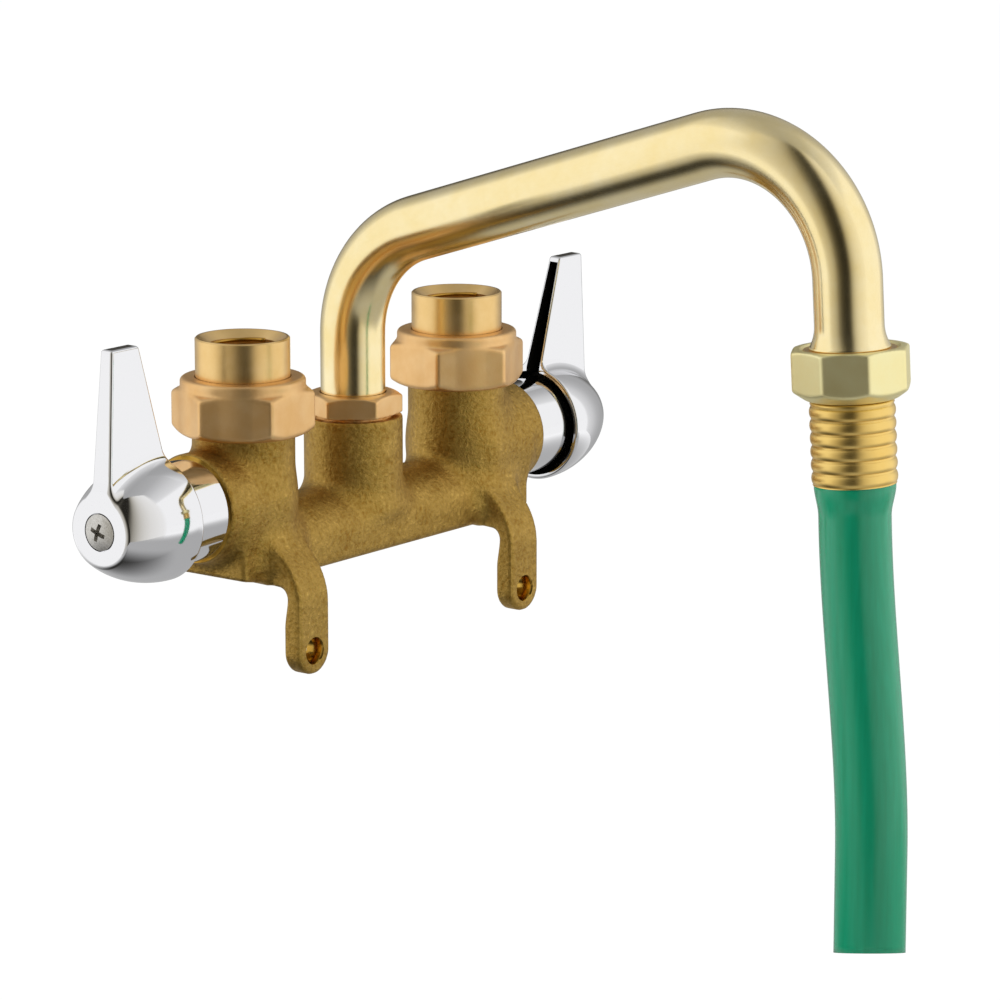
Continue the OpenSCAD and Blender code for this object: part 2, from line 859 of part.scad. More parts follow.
module handle_shape() {
  difference() {
    union() {
      turned_x()
        hub_section();
      rotate([blade_tilt, 0, 0])
        blade();
    }
    turned_x()
      polygon([
        [hub_back - over, 0],
        [hub_back - over, hub_bore_r],
        [sleeve_out + over, hub_bore_r],
        [spline_in, hub_cone_r],
        [spline_in, 0]
      ]);
    bar_x(spline_in - over, spline_out + spline_end_play, spline_d / 2 + fit);
    bar_x(spline_in, hub_face, handle_screw_d / 2 + gap);
    bar_x(screw_seat, hub_face + over, handle_screw_head_d / 2 + gap);
  }
}

// Oval-head screw
module handle_screw_shape() {
  head_r = handle_screw_head_d / 2;
  dome = 1.1;
  dome_r = (head_r * head_r + dome * dome) / (2 * dome);
  turned_x() {
    translate([spline_in, 0])
      square([screw_seat - spline_in + over, handle_screw_d / 2]);
    intersection() {
      translate([hub_face + dome - dome_r, 0])
        circle(dome_r);
      translate([screw_seat, 0])
        square([handle_screw_recess + dome + over, head_r]);
    }
  }
}

module seat_cold() {
  color("goldenrod")
    at_axis()
      seat_shape();
}

module seat_hot() {
  color("goldenrod")
    at_axis()
      hot_side()
        seat_shape();
}

module seat_washer_cold() {
  color("dimgray")
    at_axis()
      washer_shape();
}

module seat_washer_hot() {
  color("dimgray")
    at_axis()
      hot_side()
        washer_shape();
}

module washer_holder_cold() {
  color("gold")
    at_axis()
      holder_shape();
}

module washer_holder_hot() {
  color("gold")
    at_axis()
      hot_side()
        holder_shape();
}

module washer_screw_cold() {
  color("khaki")
    at_axis()
      washer_screw_shape();
}

module washer_screw_hot() {
  color("khaki")
    at_axis()
      hot_side()
        washer_screw_shape();
}

module stem_cold() {
  color("peru")
    at_axis()
      stem_shape();
}

module stem_hot() {
  color("peru")
    at_axis()
      hot_side()
        stem_shape();
}

module stem_o_ring_cold() {
  color("black")
    at_axis()
      stem_ring_shape();
}

module stem_o_ring_hot() {
  color("black")
    at_axis()
      hot_side()
        stem_ring_shape();
}

module bonnet_cold() {
  color("orange")
    at_axis()
      bonnet_shape();
}

module bonnet_hot() {
  color("orange")
    at_axis()
      hot_side()
        bonnet_shape();
}

module gasket_cold() {
  color("sienna")
    at_axis()
      gasket_shape();
}

module gasket_hot() {
  color("sienna")
    at_axis()
      hot_side()
        gasket_shape();
}

module packing_cold() {
  color("gray")
    at_axis()
      packing_shape();
}

module packing_hot() {
  color("gray")
    at_axis()
      hot_side()
        packing_shape();
}

module packing_nut_cold() {
  color("tan")
    at_axis()
      packing_nut_shape();
}

module packing_nut_hot() {
  color("tan")
    at_axis()
      hot_side()
        packing_nut_shape();
}

module sleeve_cold() {
  color("silver")
    at_axis()
      sleeve_shape();
}

module sleeve_hot() {
  color("silver")
    at_axis()
      hot_side()
        sleeve_shape();
}

module handle_cold() {
  color("lightsteelblue")
    at_axis()
      handle_shape();
}

module handle_hot() {
  color("lightsteelblue")
    at_axis()
      hot_side()
        handle_shape();
}

module handle_screw_cold() {
  color("slategray")
    at_axis()
      handle_screw_shape();
}

module handle_screw_hot() {
  color("slategray")
    at_axis()
      hot_side()
        handle_screw_shape();
}

// Inlet unions, drawn about their own axis

module union_washer_shape() {
  translate([0, 0, neck_end])
    difference() {
      cylinder(h = union_washer_t, r = neck_d / 2 - gap);
      translate([0, 0, -over])
        cylinder(h = union_washer_t + 2 * over, r = tail_waterway_d / 2);
    }
}

// Tailpiece with a flange at its foot and a female pipe thread at its top
module union_tail_shape() {
  edge = 0.4;
  rim_w = 0.5;
  mouth_r = tail_d / 2 - edge - rim_w;
  difference() {
    union() {
      translate([0, 0, tail_foot])
        cylinder(h = tail_flange_t, r = neck_d / 2 - gap);
      translate([0, 0, tail_foot])
        cylinder(h = tail_top - edge - tail_foot, r = tail_d / 2);
      translate([0, 0, tail_top - edge])
        cylinder(h = edge, r1 = tail_d / 2, r2 = tail_d / 2 - edge);
    }
    translate([0, 0, tail_foot - over])
      cylinder(h = tail_top - tail_foot + 2 * over, r = tail_waterway_d / 2);
    translate([0, 0, tail_top - tail_thread_l])
      cylinder(h = tail_thread_l + over, r = tail_bore_d / 2);
    translate([0, 0, tail_top - tail_mouth_l])
      cylinder(h = tail_mouth_l + hair, r1 = tail_bore_d / 2, r2 = mouth_r);
  }
}

// Union nut: a hexagon below a round collar that bears on the flange of the tailpiece
module union_nut_shape() {
  foot_cut = 2;
  top_cut = 1.6;
  collar_edge = 1.2;
  collar_r = union_collar_d / 2;
  difference() {
    translate([0, 0, union_z])
      union() {
        nut_prism(6, union_nut_af, union_hex_l, foot_cut, top_cut);
        cylinder(h = union_nut_l - collar_edge, r = collar_r);
        translate([0, 0, union_nut_l - collar_edge])
          cylinder(h = collar_edge, r1 = collar_r, r2 = collar_r - collar_edge);
      }
    translate([0, 0, union_z - over])
      cylinder(h = union_shoulder - union_z + over, r = neck_d / 2 + fit);
    translate([0, 0, union_z])
      cylinder(h = union_nut_l + over, r = tail_d / 2 + gap);
  }
}

module union_washer_cold() {
  color("brown")
    at_axis()
      translate([inlet_x, 0, 0])
        union_washer_shape();
}

module union_washer_hot() {
  color("brown")
    at_axis()
      translate([-inlet_x, 0, 0])
        union_washer_shape();
}

module union_tail_cold() {
  color("gold")
    at_axis()
      translate([inlet_x, 0, 0])
        union_tail_shape();
}

module union_tail_hot() {
  color("gold")
    at_axis()
      translate([-inlet_x, 0, 0])
        union_tail_shape();
}

module union_nut_cold() {
  color("burlywood")
    at_axis()
      translate([inlet_x, 0, 0])
        rotate([0, 0, union_turn_cold])
          union_nut_shape();
}

module union_nut_hot() {
  color("burlywood")
    at_axis()
      translate([-inlet_x, 0, 0])
        rotate([0, 0, union_turn_hot])
          union_nut_shape();
}

// Spout

// Round bend that starts along +Z and turns towards -Y
module spout_bend(bend_r, turn, r) {
  translate([0, -bend_r, 0])
    rotate([90, 0, 90])
      rotate_extrude(angle = turn)
        translate([bend_r, 0])
          circle(r);
}

// The whole run of the spout as a round bar: foot, bend, slope, bend and tip.
// The bends are a hair slimmer than the straights, which lap over their ends.
module spout_run_solid(r, extra) {
  translate([0, 0, collar_foot - extra])
    cylinder(h = spout_rise - collar_foot + extra + lap, r = r);
  translate([0, 0, spout_rise])
    spout_bend(spout_bend_r, turn_up, r - hair);
  at_run() {
    translate([0, 0, -lap])
      cylinder(h = spout_run + 2 * lap, r = r);
    translate([0, 0, spout_run])
      spout_bend(spout_drop_r, turn_down, r - hair);
  }
  at_tip()
    translate([0, 0, -mouth - extra])
      cylinder(h = mouth + extra + lap, r = r);
}

// Concave flare at the mouth of the tip
module spout_flare() {
  rise = (spout_flare_d - spout_d) / 2;
  arc_r = (spout_flare_l * spout_flare_l + rise * rise) / (2 * rise);
  at_tip()
    rotate_extrude()
      difference() {
        translate([spout_bore_r, -mouth])
          square([spout_flare_d / 2 - spout_bore_r, spout_flare_l + flare_lip]);
        translate([spout_r + hair + arc_r, -spout_tip_l])
          circle(arc_r, $fn = 180);
      }
}

module spout_tube() {
  color("palegoldenrod")
    at_axis()
      difference() {
        union() {
          spout_run_solid(spout_r, 0);
          spout_flare();
        }
        spout_run_solid(spout_bore_r, over);
      }
}

// Turned collar on the foot of the spout, with a groove for its o-ring
module spout_collar() {
  color("gold")
    at_axis()
      difference() {
        union() {
          translate([0, 0, collar_foot])
            cylinder(h = collar_l, r = collar_d / 2);
          translate([0, 0, collar_ledge])
            cylinder(h = collar_flange_t, r = collar_flange_d / 2);
        }
        translate([0, 0, collar_foot - over])
          cylinder(h = collar_l + collar_flange_t + 2 * over, r = spout_r + fit);
        translate([0, 0, collar_ledge - collar_l / 2])
          spout_ring_groove();
      }
}

module spout_ring_groove() {
  rotate_extrude()
    translate([collar_d / 2 - collar_ring_d / 2, -collar_ring_d])
      square([collar_ring_d, 2 * collar_ring_d]);
}

// O-ring between the bottom of its groove and the bore of the boss
module spout_o_ring() {
  section_r = (collar_ring_d / 2 + gap - fit) / 2;
  color("black")
    at_axis()
      translate([0, 0, collar_ledge - collar_l / 2])
        rotate_extrude()
          translate([collar_d / 2 + gap - fit - section_r, 0])
            circle(section_r);
}

module spout_washer() {
  color("white")
    at_axis()
      translate([0, 0, collar_top])
        difference() {
          cylinder(h = spout_washer_t, r = collar_flange_d / 2);
          translate([0, 0, -over])
            cylinder(h = spout_washer_t + 2 * over, r = spout_r + gap);
        }
}

// Hexagon on a threaded shank, bored for the spout
module spout_nut() {
  foot_cut = 0.5;
  top_cut = 1.2;
  color("gold")
    at_axis()
      difference() {
        union() {
          translate([0, 0, nut_seat])
            rotate([0, 0, spout_nut_turn])
              nut_prism(6, spout_nut_af, spout_nut_hex_l, foot_cut, top_cut);
          translate([0, 0, nut_foot])
            cylinder(h = nut_seat - nut_foot + over, r = spout_nut_thread_d / 2);
        }
        translate([0, 0, nut_foot - over])
          cylinder(h = nut_seat - nut_foot + spout_nut_hex_l + 2 * over, r = spout_r + gap);
      }
}

// Hose coupling, drawn down the tip

// Ring on the tip's axis between two stations down the tip
module tip_ring(from, to, r, bore) {
  translate([0, 0, -to])
    difference() {
      cylinder(h = to - from, r = r);
      translate([0, 0, -over])
        cylinder(h = to - from + 2 * over, r = bore);
    }
}

// Threaded end brazed into the mouth of the spout
module hose_end() {
  spigot = spout_tip_l;
  color("goldenrod")
    at_axis()
      at_tip() {
        tip_ring(mouth, thread_foot, hose_thread_d / 2, hose_end_bore_d / 2);
        tip_ring(spigot, mouth + over, spout_bore_r - fit, hose_end_bore_d / 2);
      }
}

module hose_washer() {
  color("black")
    at_axis()
      at_tip()
        tip_ring(thread_foot, washer_foot, hose_thread_d / 2 - gap, hose_end_bore_d / 2);
}

// Swivel nut: flats, a taper at its foot and an inner lip that pulls the hose tail up
module hose_nut() {
  corner_r = hose_nut_af / 2 / cos(180 / hose_nut_sides);
  mouth_edge = 1.1;
  top_cut = 0.8;
  color("khaki")
    at_axis()
      at_tip()
        translate([0, 0, -hose_nut_foot])
          difference() {
            intersection() {
              rotate([0, 0, hose_nut_turn])
                cylinder(h = hose_nut_l, r = corner_r, $fn = hose_nut_sides);
              rotate_extrude()
                polygon([
                  [0, 0],
                  [ferrule_d / 2 + nut_face_cut, 0],
                  [corner_r + clear, hose_nut_taper_l],
                  [corner_r + clear, hose_nut_l - top_cut],
                  [hose_nut_af / 2, hose_nut_l],
                  [0, hose_nut_l]
                ]);
            }
            translate([0, 0, hose_nut_foot - flange_foot])
              cylinder(h = hose_nut_l, r = hose_thread_d / 2 + fit);
            translate([0, 0, hose_nut_l - mouth_edge])
              cylinder(h = mouth_edge + hair, r1 = hose_thread_d / 2, r2 = hose_thread_d / 2 + mouth_edge);
            translate([0, 0, -over])
              cylinder(h = hose_nut_l, r = tail_neck_r + gap);
          }
}

// Hose tail: a flange in the nut and a barbed stem in the hose
module hose_tail() {
  barbs = 4;
  barb_rise = 0.3;
  stem_top = ferrule_top + ferrule_cap;
  barb_l = (ferrule_foot - stem_top) / barbs;
  stem_r = hose_tail_d / 2;
  color("gold")
    at_axis()
      at_tip()
        difference() {
          union() {
            tip_ring(washer_foot, flange_foot, hose_thread_d / 2 - gap, hose_tail_bore_d / 2);
            tip_ring(washer_foot, stem_top, tail_neck_r, hose_tail_bore_d / 2);
            for (i = [0 : barbs - 1])
              translate([0, 0, -stem_top - (i + 1) * barb_l])
                cylinder(h = barb_l, r1 = stem_r - barb_rise, r2 = stem_r);
          }
          translate([0, 0, -ferrule_foot - over])
            cylinder(h = ferrule_foot, r = hose_tail_bore_d / 2);
        }
}

// Ribbed ferrule crimped over the hose
module hose_ferrule() {
  rib_pitch = (ferrule_l - ferrule_cap) / ferrule_ribs;
  rib_r = ferrule_d / 2;
  bore_r = hose_bulge_d / 2 - ferrule_wall;
  color("gold")
    at_axis()
      at_tip()
        difference() {
          union() {
            tip_ring(ferrule_top, ferrule_foot, rib_r - ferrule_groove, bore_r);
            tip_ring(ferrule_top, ferrule_top + ferrule_cap, rib_r - ferrule_groove / 2, tail_neck_r + fit);
            for (i = [0 : ferrule_ribs - 1])
              translate([0, 0, -ferrule_top - ferrule_cap - (i + 0.5) * rib_pitch])
                ferrule_rib(rib_r, rib_pitch);
          }
          translate([0, 0, -ferrule_foot - over])
            cylinder(h = ferrule_l - ferrule_cap + over, r = bore_r);
        }
}

// One rounded rib
module ferrule_rib(rib_r, rib_pitch) {
  rib_fill = 0.86;
  width = rib_pitch * rib_fill;
  arc_r = (width * width / 4 + ferrule_groove * ferrule_groove) / (2 * ferrule_groove);
  rotate_extrude()
    intersection() {
      translate([rib_r - arc_r, 0])
        circle(arc_r, $fn = 96);
      translate([rib_r - ferrule_groove - ferrule_wall / 2, -rib_pitch / 2])
        square([ferrule_groove + ferrule_wall, rib_pitch]);
    }
}

// Hose: one pipe swept along its route

// Point on the tip's axis at a station down the tip
function tip_point(t) =
  [0, axis_y - tip_y - t * sin(spout_lean), axis_z + tip_z - t * cos(spout_lean)];
// Smooth step from 0 to 1
function ease(t) =
  let (u = min(max(t, 0), 1))
  u * u * (3 - 2 * u);
// Point of the hanging hose at a drop below the end of the crimp
function hang_point(drop) =
  tip_point(hose_crimp) - [0, hose_sway * ease(drop / hose_sway_l), drop];
hose_rest_l = hose_hang_l - hose_neck_l;
hose_route = concat(
  [tip_point(hose_top), tip_point((hose_top + hose_crimp) / 2), tip_point(hose_crimp)],
  [for (i = [1 : neck_rings]) hang_point(hose_neck_l * i / neck_rings)],
  [for (i = [1 : hang_rings]) hang_point(hose_neck_l + hose_rest_l * i / hang_rings)]
);
// Distance along the route of each point from the first
function hose_at(i) = i == 0 ? 0 : hose_at(i - 1) + norm(hose_route[i] - hose_route[i - 1]);
// Direction of the route at a point
function hose_dir(i) =
  let (
    ahead = hose_route[min(i + 1, hose_last)],
    behind = hose_route[max(i - 1, 0)]
  )
  (ahead - behind) / norm(ahead - behind);
// Bulge left below the ferrule: full at its foot, gone after the neck
function hose_swell(s) =
  (1 - ease((s - hose_crimp_l) / hose_neck_l)) * (hose_bulge_d - hose_d) / 2;
function hose_outer(i) =
  i <= 2
    ? hose_bulge_d / 2 - ferrule_wall - 2 * fit
    : hose_d / 2 + hose_swell(hose_at(i));
function hose_inner(i) =
  i <= 3
    ? (hose_tail_d / 2 + 2 * fit) / cos(180 / hose_sides)
    : hose_d / 2 - hose_wall;
// Drop of a point of the last ring that makes the knife cut
function hose_skew(i, offset) =
  i < hose_last ? 0 : -(offset[0] * hose_cut[0] + offset[1] * hose_cut[1]);
function hose_ring(i, r) =
  let (
    d = hose_dir(i),
    across = [1, 0, 0],
    along = cross(d, across)
  )
  [for (k = [0 : hose_sides - 1])
    let (
      a = 360 * k / hose_sides,
      offset = r * (cos(a) * across + sin(a) * along)
    )
    hose_route[i] + offset + [0, 0, hose_skew(i, offset)]];
// Two triangles between corner k of one ring and the next corner of another ring
function hose_quad(a, b, k) =
  let (n = (k + 1) % hose_sides)
  [[a + k, b + k, b + n], [a + k, b + n, a + n]];
function hose_skin(first, flip) =
  [for (i = [0 : hose_last - 1], k = [0 : hose_sides - 1])
    let (
      a = (first + i) * hose_sides,
      b = a + hose_sides
    )
    each flip ? hose_quad(b, a, k) : hose_quad(a, b, k)];
function hose_end_face(a, b) =
  [for (k = [0 : hose_sides - 1]) each hose_quad(a, b, k)];

module hose() {
  rings = hose_last + 1;
  outer = [for (i = [0 : hose_last]) each hose_ring(i, hose_outer(i))];
  inner = [for (i = [0 : hose_last]) each hose_ring(i, hose_inner(i))];
  first_inner = rings * hose_sides;
  last = hose_last * hose_sides;
  faces = concat(
    hose_skin(0, true),
    hose_skin(rings, false),
    hose_end_face(0, first_inner),
    hose_end_face(first_inner + last, last)
  );
  color("mediumseagreen")
    polyhedron(points = concat(outer, inner), faces = faces, convexity = 4);
}

valve_body();
seat_hot();
seat_cold();
bonnet_hot();
bonnet_cold();
gasket_hot();
gasket_cold();
packing_hot();
packing_cold();
packing_nut_hot();
packing_nut_cold();
sleeve_hot();
sleeve_cold();
union_washer_hot();
union_washer_cold();
union_tail_hot();
union_tail_cold();
union_nut_hot();
union_nut_cold();
spout_washer();
spout_nut();
spout_tube();
spout_collar();
spout_o_ring();
hose_end();
hose_washer();
hose_nut();
hose_tail();
hose_ferrule();
hose();
seat_washer_hot();
seat_washer_cold();
washer_holder_hot();
washer_holder_cold();
washer_screw_hot();
washer_screw_cold();
stem_hot();
stem_cold();
stem_o_ring_hot();
stem_o_ring_cold();
handle_hot();
handle_cold();
handle_screw_hot();
handle_screw_cold();
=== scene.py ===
# %% [markdown]
# # A utility sink faucet
# Rough cast brass, satin turned brass, a polished spout, two chromed levers and a green hose.
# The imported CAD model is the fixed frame: it gives every piece its place and its size.
# This lesson keeps the solids that already look right, gives them real finishes, and grows finer
# skins over those that a casting mould, a forge or a polishing wheel has rounded.

# %% Load the frame
import math

import bmesh
import bpy
import numpy as np
from mathutils import Matrix, Vector


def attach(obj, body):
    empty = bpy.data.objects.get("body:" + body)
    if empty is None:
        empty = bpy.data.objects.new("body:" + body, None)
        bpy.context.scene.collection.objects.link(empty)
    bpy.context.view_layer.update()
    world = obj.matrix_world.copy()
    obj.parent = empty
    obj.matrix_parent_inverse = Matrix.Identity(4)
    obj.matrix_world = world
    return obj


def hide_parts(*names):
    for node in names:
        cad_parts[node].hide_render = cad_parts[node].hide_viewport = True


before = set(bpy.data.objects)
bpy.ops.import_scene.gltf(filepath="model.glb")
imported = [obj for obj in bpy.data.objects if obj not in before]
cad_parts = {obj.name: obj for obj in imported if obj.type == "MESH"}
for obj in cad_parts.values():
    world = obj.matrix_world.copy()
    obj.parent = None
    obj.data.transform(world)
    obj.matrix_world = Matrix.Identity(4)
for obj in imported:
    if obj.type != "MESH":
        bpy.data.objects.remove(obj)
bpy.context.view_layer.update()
scene = bpy.context.scene
scene.view_settings.view_transform = "Standard"
MM = 0.001
# The valve axis crosses the spout's axis here, in millimetres from the frame's origin
AXIS = np.array((0.0, 20.4, 42.8))
INLET_X = 50.8

# %% [markdown]
# ## Camera
# A product photographer stands well back with a long lens, so the faucet hardly tapers.
# The place and the lens come from a fit of the photo's own points: the two inlets are 101.6 mm
# apart on the real object, and the rest of the view follows from that.

# %% Camera
camera = bpy.data.objects.new("studio_camera", bpy.data.cameras.new("studio_camera"))
scene.collection.objects.link(camera)
camera.data.sensor_width = 36
camera.data.lens = 167.46
camera.data.clip_end = 20
camera_place = (-1.0659, -0.8468, 0.3251)
looking = Vector((0.77817, 0.59259, -0.20806)).normalized()
upward = Vector((0.16553, 0.12605, 0.97812)).normalized()
sideways = looking.cross(upward)
turn = Matrix((sideways, upward, -looking)).transposed()
camera.matrix_world = Matrix.Translation(camera_place) @ turn.to_4x4()
scene.camera = camera
print("camera", [round(v, 3) for v in camera_place])

# %% [markdown]
# ## Making a mesh from points
# Every piece below ends as a plain mesh whose object sits at the frame's origin.
# Points are worked out in millimetres from the crossing of the two axes, which keeps the numbers
# readable, and one function moves them into the frame.

# %% Points and faces
def mesh_piece(name, points, faces):
    mesh = bpy.data.meshes.new(name)
    placed = (np.asarray(points) + AXIS) * MM
    mesh.from_pydata(placed.tolist(), [], [tuple(map(int, f)) for f in faces])
    mesh.validate()
    mesh.polygons.foreach_set("use_smooth", np.full(len(mesh.polygons), True))
    piece = bpy.data.objects.new(name, mesh)
    scene.collection.objects.link(piece)
    return piece


def ring_faces(rings, sides, closed=False):
    """Quads between rings of points; a closed set joins the last ring to the first."""
    faces = []
    for i in range(rings if closed else rings - 1):
        a, b = i * sides, ((i + 1) % rings) * sides
        for k in range(sides):
            n = (k + 1) % sides
            faces.append((a + k, a + n, b + n, b + k))
    return faces


def round_angles(sides):
    return np.linspace(0, 2 * math.pi, sides, endpoint=False)


print("a ring of 64 points has", len(ring_faces(2, 64)), "faces to the next")

# %% Finishing a piece
MERGE_WITHIN = 1e-7


def outward(piece):
    """Turns every face of a closed mesh to the outside."""
    work = bmesh.new()
    work.from_mesh(piece.data)
    bmesh.ops.remove_doubles(work, verts=work.verts, dist=MERGE_WITHIN)
    bmesh.ops.recalc_face_normals(work, faces=work.faces)
    work.to_mesh(piece.data)
    work.free()


def crisp(piece, degrees):
    """Keeps an edge sharp where its two faces turn by more than this angle."""
    piece.data.set_sharp_from_angle(angle=math.radians(degrees))


def assign(piece, body, slot, *nodes):
    """Gives a piece its body and hides the nodes that it stands for; its slot is not used."""
    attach(piece, body)
    if nodes:
        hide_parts(*nodes)
    print(piece.name, "faces", len(piece.data.polygons))


def dress(piece, material, body, slot, *nodes):
    """Gives a finished piece one material and assigns it."""
    piece.data.materials.clear()
    piece.data.materials.append(material)
    assign(piece, body, slot, *nodes)


# %% [markdown]
# ## The path of the spout's tip
# The hose hangs from the tip of the spout, so its route starts there. The tip leans forward by
# 3.5 degrees. The hose leaves the ferrule along the tip, sways forward and hangs straight down.

# %% Tip frame and hose route
TIP_LEAN = math.radians(3.5)
TIP_START = np.array((0.0, -175.96, 74.83))
TIP_DOWN = np.array((0.0, -math.sin(TIP_LEAN), -math.cos(TIP_LEAN)))
FERRULE_TOP, FERRULE_FOOT = 33.3, 56.8
HOSE_TOP, HOSE_CRIMP = 35.5, 57.05
HOSE_R, HOSE_BULGE_R, HOSE_WALL = 10.2, 11.5, 2.3
HOSE_HANG, HOSE_SWAY, HOSE_SWAY_L, HOSE_NECK_L = 134.5, 7.4, 105.0, 9.0


def tip_point(t):
    return TIP_START + t * TIP_DOWN


def ease(t):
    u = np.clip(t, 0, 1)
    return u * u * (3 - 2 * u)


def hang_point(drop):
    return tip_point(HOSE_CRIMP) - np.array((0.0, HOSE_SWAY * ease(drop / HOSE_SWAY_L), drop))


neck_drops = np.linspace(0, HOSE_NECK_L, 13)[1:]
free_drops = np.linspace(HOSE_NECK_L, HOSE_HANG, 49)[1:]
hose_route = [tip_point(t) for t in np.linspace(HOSE_TOP, HOSE_CRIMP, 9)]
hose_route = np.array(hose_route + [hang_point(d) for d in (*neck_drops, *free_drops)])
hose_steps = np.linalg.norm(np.diff(hose_route, axis=0), axis=1)

# %% [markdown]
# ## The hose
# A garden hose is an extruded vinyl pipe. Where the ferrule is crimped on, the pipe is squeezed,
# and it bulges at once below and narrows again within a centimetre. The free end is a knife cut.
# A curve with a bevel could make the pipe, but not its bore and its wall, so it is built from rings.

# %% Hose
def sweep_rings(route, radii, sides):
    """Rings of points square to a route that lies in a plane of constant X."""
    ahead = np.gradient(route, axis=0)
    ahead /= np.linalg.norm(ahead, axis=1)[:, None]
    across = np.array((1.0, 0.0, 0.0))
    along = np.cross(ahead, across)
    angle = round_angles(sides)[None, :, None]
    circle = np.cos(angle) * across + np.sin(angle) * along[:, None, :]
    return route[:, None, :] + np.asarray(radii)[:, None, None] * circle


HOSE_SIDES, CUT_RINGS = 64, 5
HOSE_SQUEEZE, HOSE_TAIL_R = 0.7, 8.15
CUT_SLOPE_X, CUT_SLOPE_Y = 0.225, 0.172
hose_at = np.concatenate([[0], np.cumsum(hose_steps)])
crimp_end = HOSE_CRIMP - HOSE_TOP
swell = 1 - ease((hose_at - crimp_end) / HOSE_NECK_L)
bulge = HOSE_R + swell * (HOSE_BULGE_R - HOSE_R)
hose_outer = np.where(hose_at < crimp_end - 0.3, HOSE_BULGE_R - HOSE_SQUEEZE, bulge)
hose_inner = np.where(hose_at < crimp_end + 2, HOSE_TAIL_R, HOSE_R - HOSE_WALL)
outer = sweep_rings(hose_route, hose_outer, HOSE_SIDES)
inner = sweep_rings(hose_route, hose_inner, HOSE_SIDES)
# The cut is oblique: the last rings lean into it step by step
for wall in (outer, inner):
    offset = wall[-1] - hose_route[-1]
    lean = offset[:, 0] * CUT_SLOPE_X + offset[:, 1] * CUT_SLOPE_Y
    for ring, share in zip(wall[-CUT_RINGS:], np.linspace(0, 1, CUT_RINGS + 1)[1:]):
        ring[:, 2] -= share * lean
hose_points = np.concatenate([outer, inner[::-1]]).reshape(-1, 3)
hose_faces = ring_faces(2 * len(hose_route), HOSE_SIDES, True)
hose = mesh_piece("garden_hose", hose_points, hose_faces)
outward(hose)
print("hose ends at z in mm", round(float(hose_points[:, 2].min()), 1))

# %% [markdown]
# ## Colours and nodes
# A colour is written as the hex value that a painter's chart or a colour picker would give.
# Shaders work in linear light, so one function converts it. One more function adds a node with its
# settings, its links and its colour stops. Most finishes below end in the same way: a pattern
# colours the surface, varies its gloss and stands out of it, so one function does that for all.

# %% Colours and nodes
def linear(code):
    channels = [int(code[i : i + 2], 16) / 255 for i in (1, 3, 5)]
    return [c / 12.92 if c <= 0.04045 else ((c + 0.055) / 1.055) ** 2.4 for c in channels] + [1.0]


def add(tree, kind, settings=None, values=None, links=None, stops=()):
    node = tree.nodes.new(kind)
    for name, value in (settings or {}).items():
        setattr(node, name, value)
    for name, value in (values or {}).items():
        node.inputs[name].default_value = value
    for name, source in (links or {}).items():
        tree.links.new(source, node.inputs[name])
    for i, (position, colour) in enumerate(stops):
        ramp = node.color_ramp.elements
        stop = ramp[i] if i < 2 else ramp.new(position)
        stop.position, stop.color = position, colour
    return node


print("mid grey in linear light", [round(c, 3) for c in linear("#808080")])

# %% Materials
def start_material(name, **values):
    """A material with a Principled shader, its tree and a link from its object coordinates."""
    material = bpy.data.materials.new(name)
    material.use_nodes = True
    tree = material.node_tree
    shader = tree.nodes["Principled BSDF"]
    for socket, value in values.items():
        shader.inputs[socket.replace("_", " ")].default_value = value
    place = {"Vector": add(tree, "ShaderNodeTexCoord").outputs["Object"]}
    return material, tree, shader, place


def finish_surface(tree, shader, tint=None, gloss=None, relief=None):
    """Tint is a pattern and its hex stops, gloss a pattern and two values of roughness, and
    relief a pattern, its strength and its depth in millimetres."""
    if tint:
        stops = [(position, linear(code)) for position, code in tint[1]]
        ramp = add(tree, "ShaderNodeValToRGB", links={"Fac": tint[0]}, stops=stops)
        tree.links.new(ramp.outputs["Color"], shader.inputs["Base Color"])
    if gloss:
        values = {"To Min": gloss[1], "To Max": gloss[2]}
        spread = add(tree, "ShaderNodeMapRange", values=values, links={"Value": gloss[0]})
        tree.links.new(spread.outputs["Result"], shader.inputs["Roughness"])
    if relief:
        values = {"Strength": relief[1], "Distance": relief[2] * MM}
        bump = add(tree, "ShaderNodeBump", values=values, links={"Height": relief[0]})
        tree.links.new(bump.outputs["Normal"], shader.inputs["Normal"])


def per_metre(size_mm):
    """Scale of a pattern whose features are this many millimetres across."""
    return 1000.0 / size_mm


print("scale of a pattern of 1.25 mm", per_metre(1.25))

# %% [markdown]
# ## Sand-cast brass
# The body is poured into a sand mould and only tumbled afterwards. The sand leaves a grain of about
# half a millimetre, drawn at 1.25 mm so that a render can show it, and a thin brown oxide stays in
# the hollows of that grain. It reflects softly, with bright specks where the tumbling has rubbed
# the high grains.

# %% Sand-cast brass
cast_brass, tree, shader, place = start_material("sand_cast_brass", Metallic=1.0)
fine = {"Scale": per_metre(1.25), "Detail": 4, "Roughness": 0.65}
broad = {"Scale": per_metre(9), "Detail": 4, "Roughness": 0.6}
grain = add(tree, "ShaderNodeTexNoise", values=fine, links=place).outputs["Fac"]
patch = add(tree, "ShaderNodeTexNoise", values=broad, links=place).outputs["Fac"]
blend = add(tree, "ShaderNodeMath", {"operation": "MULTIPLY_ADD"}, {1: 0.45}, {0: patch, 2: grain})
tones = ((0.46, "#986F26"), (0.98, "#DDBA64"), (0.7, "#B29047"), (0.86, "#C29E52"))
finish_surface(tree, shader, (blend.outputs["Value"], tones), (grain, 0.36, 0.54), (grain, 0.8, 0.45))
print(cast_brass.name)

# %% [markdown]
# ## Forged brass
# The union nuts are pressed hot between dies and then blasted clean. The blasting leaves an even,
# matte skin, paler and pinker than the casting, with a grain too fine to count; it is drawn at
# 0.6 mm. The spout nut has the same blasted skin.

